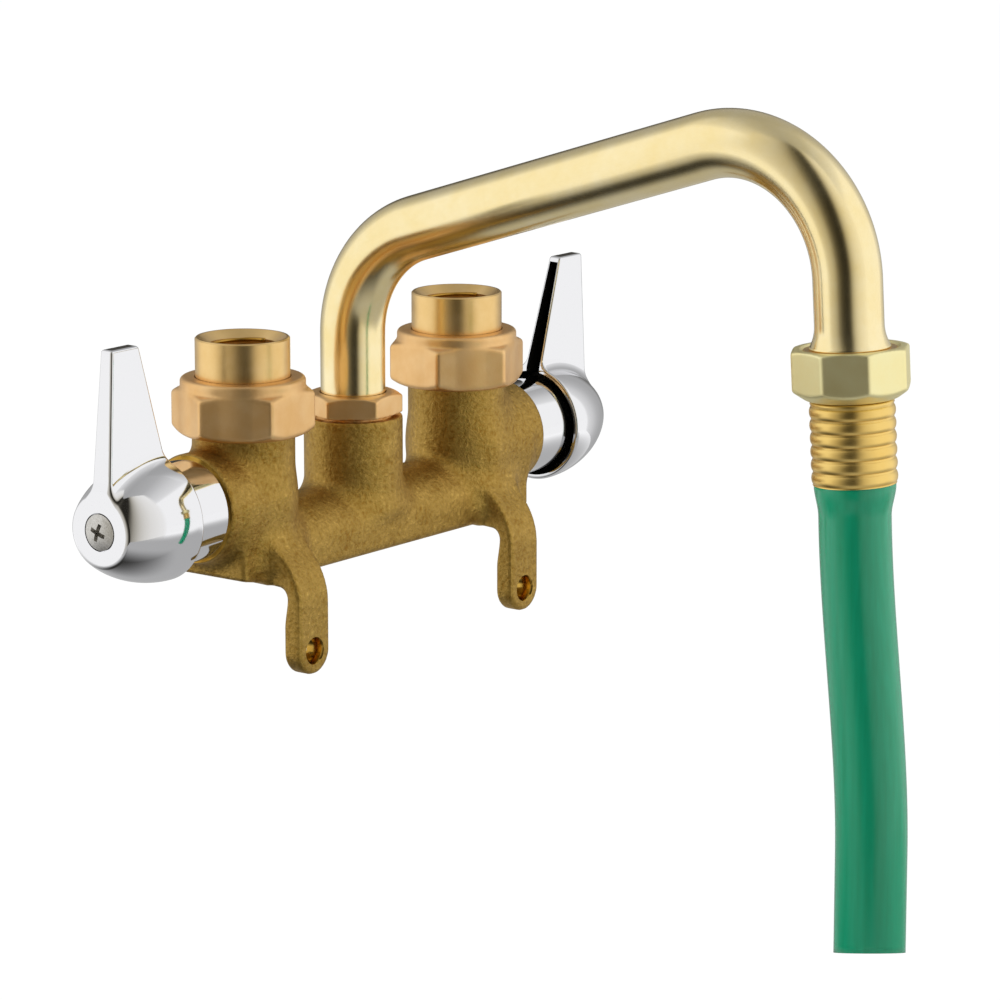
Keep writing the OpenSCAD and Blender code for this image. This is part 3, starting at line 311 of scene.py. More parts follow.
# %% Forged brass
forged_brass, tree, shader, place = start_material("forged_blasted_brass", Metallic=1.0)
fine = {"Scale": per_metre(0.6), "Detail": 2}
broad = {"Scale": per_metre(7), "Detail": 3}
grain = add(tree, "ShaderNodeTexNoise", values=fine, links=place).outputs["Fac"]
patch = add(tree, "ShaderNodeTexNoise", values=broad, links=place).outputs["Fac"]
tones = ((0.3, "#EFC080"), (0.75, "#F8D096"))
finish_surface(tree, shader, (patch, tones), (grain, 0.36, 0.48), (grain, 0.2, 0.08))
print(forged_brass.name)

# %% [markdown]
# ## Turned brass
# Tailpieces, packing nuts and stems come off a lathe. The tool leaves fine rings round the axis,
# about a tenth of a millimetre apart; here they are drawn at 0.35 mm so that a render can show them.
# The rings follow the piece's own axis, so there is one finish for upright axes and one for the
# valve axis. Drilled faces have coarser marks, drawn at 1.1 mm, and a darker tone that is painted
# shade, because they are end faces that sit against the next part. Cut threads are darker too.

# %% Turned brass
WAVES_PER_UNIT = 20


def turned_brass(name, direction, deep="#ECC580", light="#F8D494", pitch=0.35, relief=(0.12, 0.03)):
    material, tree, shader, place = start_material(name, Metallic=1.0)
    marks = {"Scale": per_metre(pitch) / WAVES_PER_UNIT, "Distortion": 0.6, "Detail": 1}
    rings = add(tree, "ShaderNodeTexWave", {"bands_direction": direction}, marks, place).outputs["Fac"]
    broad = {"Scale": per_metre(6), "Detail": 4}
    stain = add(tree, "ShaderNodeTexNoise", values=broad, links=place).outputs["Fac"]
    tones = ((0.3, deep), (0.75, light))
    finish_surface(tree, shader, (stain, tones), (stain, 0.26, 0.36), (rings, *relief))
    return material


upright_brass = turned_brass("turned_brass_upright", "Z")
crosswise_brass = turned_brass("turned_brass_crosswise", "X")
# Drilled end faces: coarse drill marks, and a darker tone that is painted shade where the next part
# sits against them
drilled_brass_painted_shade = turned_brass("drilled_brass_painted_shade", "Y", "#A87C2A", "#D2A84C", 1.1, (0.9, 0.3))
thread_brass = turned_brass("cut_thread_brass", "Z", "#B98A34", "#D8AC54")
print(upright_brass.name, crosswise_brass.name, drilled_brass_painted_shade.name, thread_brass.name)

# %% [markdown]
# ## Polished brass
# The spout and the hose nut are buffed, the ferrule is drawn through a bright die, and the mounting
# holes are reamed. All of them mirror the studio: the white walls at both sides and the dark flag
# beside the camera. Handling leaves faint smears that change the gloss more than the colour. In the
# mounting holes the tones run from light to a much darker deep tone, which is painted shade.

# %% Polished brass
def polished_brass(name, light, deep, low, high):
    material, tree, shader, place = start_material(name, Metallic=1.0)
    broad = {"Scale": per_metre(14), "Detail": 5, "Roughness": 0.65}
    fine = {"Scale": per_metre(1.2), "Detail": 2}
    smear = add(tree, "ShaderNodeTexNoise", values=broad, links=place).outputs["Fac"]
    scratch = add(tree, "ShaderNodeTexNoise", values=fine, links=place).outputs["Fac"]
    tones = ((0.3, deep), (0.7, light))
    finish_surface(tree, shader, (smear, tones), (smear, low, high), (scratch, 0.03, 0.02))
    return material


spout_brass = polished_brass("polished_brass_tube", "#FFEFC0", "#FAE4A6", 0.16, 0.25)
nut_brass = polished_brass("polished_brass_nut", "#FFF8C4", "#FDF0B2", 0.4, 0.5)
# Reamed mounting holes: the dark deep tone is painted shade inside the holes
hole_brass_painted_shade = polished_brass("reamed_brass_hole_painted_shade", "#E2BC5E", "#A87A28", 0.12, 0.22)
ferrule_brass = polished_brass("drawn_brass_ferrule", "#F8D784", "#F5CE74", 0.26, 0.36)
print(spout_brass.name, nut_brass.name, ferrule_brass.name, hole_brass_painted_shade.name)

# %% [markdown]
# ## Chrome, steel, zinc and the soft seals
# Chromium plate is almost a mirror, slightly grey. The screws are zinc-plated steel and much duller.
# Plating hardly reaches into the hollow levers, so the zinc there stays raw; its near-black is painted
# shade.
# Rubber, fibre, graphite and nylon sit out of sight, but each still gets its own grain.

# %% Chrome, steel and zinc
plate = linear("#EEEEF0")
chrome, tree, shader, place = start_material("chromium_plate", Metallic=1.0, Base_Color=plate)
broad = {"Scale": per_metre(10), "Detail": 4}
haze = add(tree, "ShaderNodeTexNoise", values=broad, links=place).outputs["Fac"]
finish_surface(tree, shader, gloss=(haze, 0.03, 0.09))

steel, tree, shader, place = start_material("zinc_plated_steel", Metallic=1.0)
fine = {"Scale": per_metre(0.5), "Detail": 3}
grain = add(tree, "ShaderNodeTexNoise", values=fine, links=place).outputs["Fac"]
tones = ((0.3, "#BDBAB4"), (0.7, "#DCDAD5"))
finish_surface(tree, shader, (grain, tones), (grain, 0.28, 0.42), (grain, 0.15, 0.05))

# Unplated zinc inside the levers, coloured near-black as painted shade
unplated_zinc_painted_shade, tree, shader, place = start_material("die_cast_zinc_painted_shade", Metallic=1.0, Roughness=0.6)
fine = {"Scale": per_metre(0.8), "Detail": 3}
grain = add(tree, "ShaderNodeTexNoise", values=fine, links=place).outputs["Fac"]
finish_surface(tree, shader, (grain, ((0.3, "#2C2B29"), (0.7, "#45433F"))))
print(chrome.name, steel.name, unplated_zinc_painted_shade.name)


# %% Seals
def seal(name, dark, light, rough, size_mm):
    material, tree, shader, place = start_material(name, Roughness=rough)
    fine = {"Scale": per_metre(size_mm), "Detail": 3}
    grain = add(tree, "ShaderNodeTexNoise", values=fine, links=place).outputs["Fac"]
    tones = ((0.3, dark), (0.7, light))
    finish_surface(tree, shader, (grain, tones), relief=(grain, 0.2, 0.05))
    return material


rubber = seal("moulded_black_rubber", "#161616", "#232323", 0.7, 0.8)
fibre = seal("vulcanised_red_fibre", "#5A2A18", "#7A3C22", 0.75, 0.5)
graphite = seal("graphited_packing_cord", "#26262A", "#3C3C42", 0.5, 0.7)
nylon = seal("white_nylon", "#DEDCD4", "#EBE9E2", 0.45, 1.5)
print(rubber.name, fibre.name, graphite.name, nylon.name)

# %% [markdown]
# ## Hose vinyl
# The hose is coloured through. Its skin is glossy: the extruder's die leaves faint lines along it,
# and the edges look milky where the light grazes the plasticised surface.

# %% Hose vinyl
vinyl, tree, shader, place = start_material("green_hose_vinyl", Roughness=0.18, Specular_IOR_Level=0.6)
stretch = add(tree, "ShaderNodeMapping", values={"Scale": (1.0, 1.0, 0.05)}, links=place)
fine = {"Scale": per_metre(1.2), "Detail": 2}
drawn = {"Vector": stretch.outputs["Vector"]}
lines = add(tree, "ShaderNodeTexNoise", values=fine, links=drawn).outputs["Fac"]
tones = ((0.3, "#008059"), (0.7, "#038862"))
finish_surface(tree, shader, (lines, tones), relief=(lines, 0.02, 0.03))
dress(hose, vinyl, "spout", "hose_vinyl", "hose")

# %% [markdown]
# ## Skins from distances
# A casting has no sharp inner corner, because sand would crumble there. Bevelling every crossing of
# two cylinders by hand would be slow. A distance function says for any point how far it is from
# the surface, and two of them can be joined with a rounded fillet of any radius. A grid of points is
# tested, every cell that the surface crosses gets one vertex, and each vertex is moved onto the
# surface. The result is an even skin of quads whose fillets have real radii.

# %% Joining distances
def length(*parts):
    return np.sqrt(sum(p * p for p in parts))


def join(a, b, r):
    """Two bodies as one, with a fillet of radius r between them."""
    return np.maximum(r, np.minimum(a, b)) - np.hypot(np.maximum(r - a, 0), np.maximum(r - b, 0))


def keep(a, b, r):
    """What two bodies share, with the edge between them rounded to radius r."""
    return np.minimum(-r, np.maximum(a, b)) + np.hypot(np.maximum(r + a, 0), np.maximum(r + b, 0))


def gradient(distance, points, h=0.02):
    slopes = [(distance(points + h * e) - distance(points - h * e)) / (2 * h) for e in np.eye(3)]
    return np.stack(slopes, 1)


def settle(distance, points, step, rounds):
    """Moves points onto the surface along its slope."""
    for _ in range(rounds):
        slope = gradient(distance, points)
        move = distance(points) / np.maximum((slope * slope).sum(1), 0.05)
        points = points - slope * np.clip(move, -step, step)[:, None]
    return points


print("1 mm from both walls, a 3 mm fillet is", round(float(join(1.0, 1.0, 3.0)), 2), "mm away")

# %% Growing a skin
def grow(distance, low, high, step, relax=2):
    low, high = np.array(low, float), np.array(high, float)
    count = np.ceil((high - low) / step).astype(int) + 1
    lines = [low[i] + step * np.arange(count[i]) for i in range(3)]
    grid = np.stack(np.meshgrid(*lines, indexing="ij"), -1).reshape(-1, 3)
    inside = np.concatenate([distance(part) for part in np.array_split(grid, 12)]).reshape(count) < 0
    total = sum(
        inside[i : count[0] - 1 + i, j : count[1] - 1 + j, k : count[2] - 1 + k].astype(int)
        for i in (0, 1) for j in (0, 1) for k in (0, 1)
    )
    crossed = (total > 0) & (total < 8)
    number = np.full(crossed.shape, -1)
    number[crossed] = np.arange(crossed.sum())
    points = low + (np.argwhere(crossed) + 0.5) * step
    quads = []
    for a in range(3):
        b, c = (a + 1) % 3, (a + 2) % 3
        first = np.take(inside, np.arange(count[a] - 1), a)
        at = np.argwhere(first != np.take(inside, np.arange(1, count[a]), a))
        eb, ec = np.eye(3, dtype=int)[[b, c]]
        corners = [at - i * eb - j * ec for i, j in ((1, 1), (0, 1), (0, 0), (1, 0))]
        quad = np.stack([number[tuple(corner.T)] for corner in corners], 1)
        back = ~first[tuple(at.T)]
        quad[back] = quad[back][:, ::-1]
        quads.append(quad)
    quads = np.concatenate(quads)
    points = settle(distance, points, step, 4)
    edges = np.concatenate([quads[:, [i, (i + 1) % 4]] for i in range(4)])
    for _ in range(relax):
        near, seen = np.zeros_like(points), np.zeros(len(points))
        np.add.at(near, edges[:, 0], points[edges[:, 1]])
        np.add.at(seen, edges[:, 0], 1)
        points = settle(distance, 0.5 * points + 0.5 * near / seen[:, None], step, 2)
    return points, quads


print("skin helpers ready")

# %% [markdown]
# ## The casting
# One pour makes the bar, the two valve chambers, the inlet necks, the boss and the mounting legs.
# Each is a simple body. The fillets follow the photo: about 5 mm where the chambers and the boss
# meet the bar, 2 to 7 mm along the roots of the legs, and edges rounded by 1 or 2 mm.

# %% Bar, chambers, necks and boss
BAR_HALF, BAR_MIDDLE, BAR_RISE, BAR_FOOT, BAR_END = 14.7, -13.0, 10.0, -23.0, 54
CHAMBER_R, CHAMBER_END, NECK_R, NECK_TOP = 16.2, 75.2, 15.1, 23.6
BOSS_R, BOSS_TOP, BOSS_FOOT = 14.9, 16.8, -11.5


def cast_bar(p):
    side = keep(np.abs(p[:, 1]) - BAR_HALF, np.abs(p[:, 2] - BAR_MIDDLE) - BAR_RISE, 2.0)
    crown = length(p[:, 1], p[:, 2] + 18.5) - 15.5
    return keep(keep(side, crown, 0.8), np.abs(p[:, 0]) - BAR_END, 1.0)


def cast_chamber(p):
    x = np.abs(p[:, 0])
    return length(1.25 * np.minimum(x - INLET_X, 0), p[:, 1], p[:, 2]) - CHAMBER_R


def cast_neck(p):
    round_wall = length(np.abs(p[:, 0]) - INLET_X, p[:, 1]) - NECK_R
    return np.maximum(round_wall, np.maximum(-14.5 - p[:, 2], p[:, 2] - NECK_TOP))


def cast_boss(p):
    ends = np.maximum(BOSS_FOOT - p[:, 2], p[:, 2] - BOSS_TOP)
    return keep(length(p[:, 0], p[:, 1]) - BOSS_R, ends, 1.2)


print("casting in mm, from end to end:", 2 * CHAMBER_END)

# %% Feet and legs
LEG_HALF, LEG_HOLE_Z, LEG_FRONT, LEG_BEND_R = 7.0, -42.8, -26.4, 20.1


def cast_foot(p):
    """The block under a chamber, whose underside rises towards its end."""
    x, z = np.abs(p[:, 0]), p[:, 2]
    slope = 2.2 / 10.6
    rising = BAR_FOOT + slope * (x - 57.7)
    under = np.maximum(BAR_FOOT - z, (rising - z) / math.hypot(1, slope))
    block = keep(np.maximum(49.0 - x, x - 68.3), np.abs(p[:, 1]) - BAR_HALF, 1.6)
    return keep(np.maximum(block, z), under, 1.0)


def cast_leg(p):
    """A long curve in front, a tight bend behind, and a pad that leans back to the wall."""
    x, y, z = np.abs(p[:, 0]) - INLET_X, p[:, 1], p[:, 2]
    front_y, front_z, back_y, back_z = -6.3, -29.5, -18.4, -26.8
    curve = length(y - front_y, z - front_z) - LEG_BEND_R
    front = np.where(z > front_z, curve, LEG_FRONT - y)
    pad = -21.45 + 1.05 * ease((back_z - z) / 9.1)
    arm = -23.8 + 0.07 * np.maximum(y - back_y, 0) - z
    corner = 3.0 - length(y - back_y, z - back_z)
    behind = np.where(z < back_z, y - pad, np.where(y > back_y, arm, corner))
    outline = length(x, np.minimum(z - LEG_HOLE_Z, 0)) - LEG_HALF
    return np.maximum(keep(keep(front, behind, 1.2), outline, 1.2), y + 8.0)


print("lowest point of the legs in mm:", LEG_HOLE_Z - LEG_HALF)

# %% The casting's skin
def casting(p):
    base = np.minimum(cast_bar(p), cast_foot(p))
    valve = join(cast_chamber(p), cast_neck(p), 3.5)
    whole = join(join(base, cast_boss(p), 5.0), valve, 4.5)
    whole = join(whole, cast_leg(p), 2.0 + 5.0 * ease((p[:, 2] + 24.0) / 7.0))
    return keep(keep(whole, np.abs(p[:, 0]) - CHAMBER_END, 1.7), p[:, 2] - NECK_TOP, 0.8)


points, quads = grow(casting, (-77, -28, -51.5), (77, 18, 25), 0.8)
body_skin = mesh_piece("cast_body", points, quads)
print("casting skin", len(points), "points")

# %% [markdown]
# ## Machining the casting
# After casting, the chambers, the necks, the boss and the mounting holes are bored. A boolean takes
# those bores out of the skin and leaves the crisp edges that a tool leaves. The faces that a tool has
# touched are bright, so each tool hands its own finish to the faces that it cuts. The end faces under
# the sleeves and the spout nut and the walls of the mounting holes get darker tones, which are
# painted shade.

# %% Boring
def drill(target, start, end, radii, finish=None, stops=(0.0, 1.0), sides=64):
    """Takes a round bore out of a piece. Stops are the shares of its length that have the radii."""
    start, end = np.array(start, float), np.array(end, float)
    radii = np.broadcast_to(radii, len(stops))
    ahead = (end - start) / np.linalg.norm(end - start)
    side = np.cross(ahead, (0.31, 0.52, 0.79))
    side /= np.linalg.norm(side)
    up = np.cross(ahead, side)
    angle = round_angles(sides)[:, None]
    rim = np.cos(angle) * side + np.sin(angle) * up
    rings = [start + (end - start) * stop + radius * rim for stop, radius in zip(stops, radii)]
    last = (len(radii) - 1) * sides
    ends = [tuple(range(sides))[::-1], tuple(range(last, last + sides))]
    cut_away(target, np.concatenate(rings), ring_faces(len(radii), sides) + ends, finish)


def cut_away(target, points, faces, finish=None):
    """Makes a tool, subtracts it from a piece and throws it away."""
    tool = mesh_piece("cutting_tool", points, faces)
    outward(tool)
    if finish:
        tool.data.materials.append(finish)
    cut = target.modifiers.new("cut", "BOOLEAN")
    cut.operation, cut.solver, cut.object = "DIFFERENCE", "EXACT", tool
    cut.material_mode = "TRANSFER" if finish else "INDEX"
    depsgraph = bpy.context.evaluated_depsgraph_get()
    result = bpy.data.meshes.new_from_object(target.evaluated_get(depsgraph))
    target.modifiers.clear()
    old, target.data = target.data, result
    bpy.data.meshes.remove(old)
    bpy.data.objects.remove(tool)


print("the casting has", len(body_skin.data.polygons), "faces before it is bored")

# %% Bores of the casting
LEG_HOLE_R, LEG_SINK_R, LEG_SINK_SHARE = 3.55, 5.31, 0.256
END_FACE = 20
# The end faces take the drilled finish, whose darker tone is painted shade under the sleeves and the
# spout nut
valve_bores = (
    (74.7, 77, END_FACE, drilled_brass_painted_shade),
    (56.5, 76, 11.05, crosswise_brass),
    (46.5, 58, 9.3, crosswise_brass),
)
boss_bores = (
    (16.4, 18, END_FACE, drilled_brass_painted_shade),
    (2.4, 18, 12.05, upright_brass),
    (-7, 3, 11.3, upright_brass),
)
body_skin.data.materials.append(cast_brass)
for side in (-1, 1):
    x = side * INLET_X
    for start, end, radius, finish in valve_bores:
        drill(body_skin, (side * start, 0, 0), (side * end, 0, 0), radius, finish)
    drill(body_skin, (x, 0, 0.1), (x, 0, 25), 7.0, upright_brass)
    front, behind = (x, -28, LEG_HOLE_Z), (x, -19, LEG_HOLE_Z)
    steps = (LEG_SINK_R, LEG_HOLE_R, LEG_HOLE_R)
    # The leg holes take the reamed finish, whose dark tone is painted shade inside them
    drill(body_skin, front, behind, steps, hole_brass_painted_shade, (0.0, LEG_SINK_SHARE, 1.0), 60)
for start, end, radius, finish in boss_bores:
    drill(body_skin, (0, 0, start), (0, 0, end), radius, finish)
crisp(body_skin, 38)
assign(body_skin, "faucet", "cast_brass", "valve_body")
print("finishes of the casting", len(body_skin.data.materials))

# %% [markdown]
# ## Nuts
# A nut is a prism whose corners a lathe has turned off at both ends, which leaves the curved edges at
# the top of every flat. The union nuts are forged, so all their edges are soft. The spout nut and the
# hose nut are cut from bar and stay crisper. One distance function serves them all.

# %% Nuts
def prism(x, y, sides, flats, turn, r):
    """Distance to a prism with rounded corners."""
    whole = None
    for i in range(sides):
        a = math.radians(turn) + (i + 0.5) * 2 * math.pi / sides
        wall = x * math.cos(a) + y * math.sin(a) - flats / 2
        whole = wall if whole is None else keep(whole, wall, r)
    return whole


def turned_corner(ring, height, reach, rise):
    """Distance to a cone that crosses a rim and rises over a reach."""
    slope = rise / reach
    return (height + slope * ring) / math.hypot(1, slope)


print("nut shapes ready")

# %% Union nuts
UNION_FLATS, UNION_FOOT, UNION_TOP = 36.9, 19.0, 32.8
UNION_RIM, UNION_COLLAR_R, UNION_COLLAR_TOP = 18.05, 18.4, 35.8


def union_nut(turn):
    def shape(p):
        x, y, z = p[:, 0], p[:, 1], p[:, 2]
        ring = length(x, y)
        ends = np.maximum(UNION_FOOT - z, z - UNION_TOP)
        body = keep(prism(x, y, 6, UNION_FLATS, turn, 0.7), ends, 0.8)
        top = turned_corner(ring - UNION_RIM, z - UNION_TOP, 3.25, 1.6)
        foot = turned_corner(ring - UNION_RIM, UNION_FOOT - z, 3.25, 2.0)
        body = keep(keep(body, top, 0.8), foot, 0.8)
        collar = keep(ring - UNION_COLLAR_R, np.maximum(19.5 - z, z - UNION_COLLAR_TOP), 1.3)
        return join(body, collar, 0.8)

    return shape


for side, name, turn in ((-1, "hot", 3.6), (1, "cold", 21.6)):
    x = side * INLET_X
    points, quads = grow(union_nut(turn), (-23, -23, 18), (23, 23, 37), 0.55)
    nut = mesh_piece("forged_union_nut_" + name, points + (x, 0, 0), quads)
    drill(nut, (x, 0, 17), (x, 0, 29.1), 15.15)
    drill(nut, (x, 0, 28), (x, 0, 37), 14.2)
    crisp(nut, 40)
    dress(nut, forged_brass, "faucet", "forged_brass", "union_nut_" + name)

# %% Spout nut
SPOUT_FLATS, SPOUT_NUT_FOOT, SPOUT_NUT_TOP, SPOUT_NUT_RIM = 26.0, 17.0, 23.6, 12.6
SHANK_R, SHANK_FOOT = 12.0, 6.2


def spout_nut_shape(p):
    x, y, z = p[:, 0], p[:, 1], p[:, 2]
    ring = length(x, y)
    ends = np.maximum(SPOUT_NUT_FOOT - z, z - SPOUT_NUT_TOP)
    body = keep(prism(x, y, 6, SPOUT_FLATS, 7.3, 0.5), ends, 0.3)
    body = keep(body, turned_corner(ring - SPOUT_NUT_RIM, z - SPOUT_NUT_TOP, 2.5, 1.2), 0.4)
    body = keep(body, turned_corner(ring - SPOUT_NUT_RIM, SPOUT_NUT_FOOT - z, 2.5, 0.5), 0.3)
    shank = np.maximum(ring - SHANK_R, np.maximum(SHANK_FOOT - z, z - 20))
    return np.minimum(body, shank)


points, quads = grow(spout_nut_shape, (-16, -16, 5.5), (16, 16, 24.5), 0.4)
spout_nut = mesh_piece("turned_spout_nut", points, quads)
drill(spout_nut, (0, 0, 5), (0, 0, 25), 10.1)
crisp(spout_nut, 40)
dress(spout_nut, forged_brass, "faucet", "machined_brass", "spout_nut")

# %% Hose nut
HOSE_FLATS, HOSE_NUT_TOP, HOSE_NUT_FOOT = 31.9, 18.5, 33.1
HOSE_NUT_BORE, HOSE_NUT_MOUTH, HOSE_NUT_MOUTH_SHARE = 13.05, 15.0, 0.135


def hose_nut_shape(q):
    """Points are given as X, across the tip and the station down the tip."""
    x, y, t = q[:, 0], q[:, 1], q[:, 2]
    ring = length(x, y)
    ends = np.maximum(HOSE_NUT_TOP - t, t - HOSE_NUT_FOOT)
    body = keep(prism(x, y, 8, HOSE_FLATS, 5.3, 0.45), ends, 0.3)
    body = keep(body, turned_corner(ring - 15.95, HOSE_NUT_TOP - t, 1.4, 0.8), 0.4)
    return keep(body, turned_corner(ring - 12.65, t - HOSE_NUT_FOOT, 4.6, 3.2), 0.6)


def from_tip(q):
    """Points drawn down the tip, moved to their place on the spout."""
    across = np.array((0.0, math.cos(TIP_LEAN), -math.sin(TIP_LEAN)))
    return TIP_START + q[:, :1] * (1.0, 0, 0) + q[:, 1:2] * across + q[:, 2:] * TIP_DOWN


points, quads = grow(hose_nut_shape, (-18, -18, 17.5), (18, 18, 34.2), 0.42)
hose_nut = mesh_piece("polished_hose_nut", from_tip(points), quads)
outward(hose_nut)
steps = (HOSE_NUT_MOUTH, HOSE_NUT_BORE, HOSE_NUT_BORE)
drill(hose_nut, tip_point(17.6), tip_point(32.0), steps, None, (0.0, HOSE_NUT_MOUTH_SHARE, 1.0))
drill(hose_nut, tip_point(31), tip_point(35), 9.7)
crisp(hose_nut, 40)
dress(hose_nut, nut_brass, "spout", "polished_brass", "hose_nut")

# %% [markdown]
# ## The spout
# The spout is one length of drawn tube, bent twice over a former and flared at its tip. The CAD tube
# is right, but a mirror finish shows every facet, so the same line is swept again with fine rings.

# %% Spout tube
def arc(centre, start, ahead, radius, degrees, count):
    """Points of a bend in the plane of the spout, without its first point."""
    spread = np.radians(np.linspace(0, degrees, count + 1)[1:])
    out = (start - centre) / radius
    return [centre + radius * (out * math.cos(a) + ahead * math.sin(a)) for a in spread]


SLOPE = math.radians(17.6)
TUBE_FOOT, RISE_TOP, RUN_LENGTH = -5.6, 41.2, 107.5
FOOT_BEND_R, TIP_BEND_R = 36.0, 37.2
TUBE_R, TUBE_BORE_R, TUBE_SIDES = 9.74, 8.75, 96
FLARE_START, FLARE_END, FLARE_R = 12.5, 18.5, 11.44
rise_end = np.array((0.0, 0.0, RISE_TOP))
route = [np.array((0.0, 0.0, z)) for z in np.linspace(TUBE_FOOT, RISE_TOP, 12)]
foot_centre = rise_end - (0, FOOT_BEND_R, 0)
route += arc(foot_centre, rise_end, np.array((0, 0, 1.0)), FOOT_BEND_R, 72.4, 40)
run_ahead = np.array((0.0, -math.cos(SLOPE), math.sin(SLOPE)))
run_end = route[-1] + RUN_LENGTH * run_ahead
route += [route[-1] + s * run_ahead for s in np.linspace(0, RUN_LENGTH, 24)[1:]]
inward = np.array((0.0, -math.sin(SLOPE), -math.cos(SLOPE)))
route += arc(run_end + TIP_BEND_R * inward, run_end, run_ahead, TIP_BEND_R, 104.1, 60)
bend_end = len(route)
straight = np.linspace(0, FLARE_START, 6)[1:]
flared = np.linspace(FLARE_START, FLARE_END, 14)[1:]
route += [tip_point(t) for t in (*straight, *flared, 18.6, 18.75, 18.9)]
route = np.array(route)
station = np.zeros(len(route))
station[bend_end:] = (route[bend_end:] - TIP_START) @ TIP_DOWN
past = np.clip(station - FLARE_START, 0, FLARE_END - FLARE_START)
flare = FLARE_R - np.sqrt(FLARE_R**2 - past**2)
lip = np.clip((station - FLARE_END) / 0.4, 0, 1)
skin = sweep_rings(route, TUBE_R + flare - 0.25 * lip**3, TUBE_SIDES)
bore = sweep_rings(route, np.full(len(route), TUBE_BORE_R), TUBE_SIDES)
rings = np.concatenate([skin, bore[::-1]])
tube_faces = ring_faces(len(rings), TUBE_SIDES, True)
spout = mesh_piece("polished_spout", rings.reshape(-1, 3), tube_faces)
outward(spout)
crisp(spout, 40)
dress(spout, spout_brass, "spout", "polished_brass", "spout_tube")
gap = np.linalg.norm(route[bend_end - 1] - TIP_START)
print("gap between the bend and the tip in mm", round(float(gap), 3))

# %% [markdown]
# ## The ferrule
# The ferrule is a thin brass cup crimped over the hose in six steps, which leaves six rounded ribs.
# Ribs repeat, so Geometry Nodes place them: one rib is a ring swept with a flattened circle, a line
# of points carries the copies, and the copies are realised because an export would drop instances.

# %% Node trees
def start_tree(name, **kinds):
    """A geometry tree with named inputs; returns it, their identifiers and their outputs."""
    tree = bpy.data.node_groups.new(name, "GeometryNodeTree")
    identifiers = {}
    for label, kind in kinds.items():
        made = tree.interface.new_socket(label, in_out="INPUT", socket_type="NodeSocket" + kind)
        identifiers[label] = made.identifier
    tree.interface.new_socket("Geometry", in_out="OUTPUT", socket_type="NodeSocketGeometry")
    return tree, identifiers, add(tree, "NodeGroupInput").outputs


def end_tree(tree, geometry, finish):
    """Ends a tree: copies become real and get their material."""
    real = add(tree, "GeometryNodeRealizeInstances", links={"Geometry": geometry})
    dressed = {"Geometry": real.outputs["Geometry"], "Material": finish}
    shade = add(tree, "GeometryNodeSetMaterial", links=dressed)
    add(tree, "NodeGroupOutput", links={"Geometry": shade.outputs["Geometry"]})
    print(tree.name, len(tree.nodes), "nodes")


def run_tree(tree, identifiers, **inputs):
    """Runs a tree on an empty mesh and returns the points and faces that it makes."""
    carrier = bpy.data.objects.new(tree.name, bpy.data.meshes.new(tree.name))
    scene.collection.objects.link(carrier)
    modifier = carrier.modifiers.new("nodes", "NODES")
    modifier.node_group = tree
    for label, value in inputs.items():
        modifier[identifiers[label]] = value
    depsgraph = bpy.context.evaluated_depsgraph_get()
    made = bpy.data.meshes.new_from_object(carrier.evaluated_get(depsgraph))
    carrier.modifiers.clear()
    bpy.data.objects.remove(carrier)
    return np.array([v.co for v in made.vertices]), [tuple(f.vertices) for f in made.polygons]


print("node trees ready")

# %% Rib tree
FLATTENED = (0.55, 1.0, 1.0)
ribs, rib_inputs, given = start_tree(
    "crimped_ribs", Count="Int", Pitch="Float", Radius="Float", Width="Float", Finish="Material"
)
circle = "GeometryNodeCurvePrimitiveCircle"
ring = add(ribs, circle, values={"Resolution": 96}, links={"Radius": given["Radius"]})
section = add(ribs, circle, values={"Resolution": 20}, links={"Radius": given["Width"]})
squeezed = {"Geometry": section.outputs["Curve"]}
flat = add(ribs, "GeometryNodeTransform", values={"Scale": FLATTENED}, links=squeezed)
swept = {"Curve": ring.outputs["Curve"], "Profile Curve": flat.outputs["Geometry"]}
rib = add(ribs, "GeometryNodeCurveToMesh", links=swept)
spread = add(ribs, "ShaderNodeCombineXYZ", links={"Z": given["Pitch"]})
spaced = {"Count": given["Count"], "Offset": spread.outputs["Vector"]}
line = add(ribs, "GeometryNodeMeshLine", links=spaced)
carried = {"Points": line.outputs["Mesh"], "Instance": rib.outputs["Mesh"]}
copies = add(ribs, "GeometryNodeInstanceOnPoints", links=carried)
end_tree(ribs, copies.outputs["Instances"], given["Finish"])

# %% Ferrule
RIBS, CAP, FERRULE_SIDES = 6, 1.2, 96
pitch = (FERRULE_FOOT - FERRULE_TOP - CAP) / RIBS
rib_points, rib_faces = run_tree(
    ribs, rib_inputs, Count=RIBS, Pitch=pitch, Radius=11.05, Width=1.85, Finish=ferrule_brass
)
rib_points = rib_points + (0, 0, FERRULE_TOP + CAP + pitch / 2)
# Radius and station of the cup: its mouth, its outer wall, its foot and its inner wall
profile = [(9.45, 33.3), (11.4, 33.3), (11.75, 33.6), (11.8, 34.0), (11.55, 34.5)]
profile += [(11.55, 56.5), (11.75, 56.8), (10.95, 56.8), (10.95, 34.5), (9.45, 34.5)]
angle = round_angles(FERRULE_SIDES)
cup = np.array([[(r * math.cos(a), r * math.sin(a), t) for a in angle] for r, t in profile])
cup = cup.reshape(-1, 3)
ferrule_faces = ring_faces(len(profile), FERRULE_SIDES, True)
ferrule_faces += [tuple(i + len(cup) for i in f) for f in rib_faces]
ferrule_points = from_tip(np.concatenate([cup, rib_points]))
ferrule = mesh_piece("crimped_ferrule", ferrule_points, ferrule_faces)
outward(ferrule)
crisp(ferrule, 50)
dress(ferrule, ferrule_brass, "spout", "crimped_brass", "hose_ferrule")

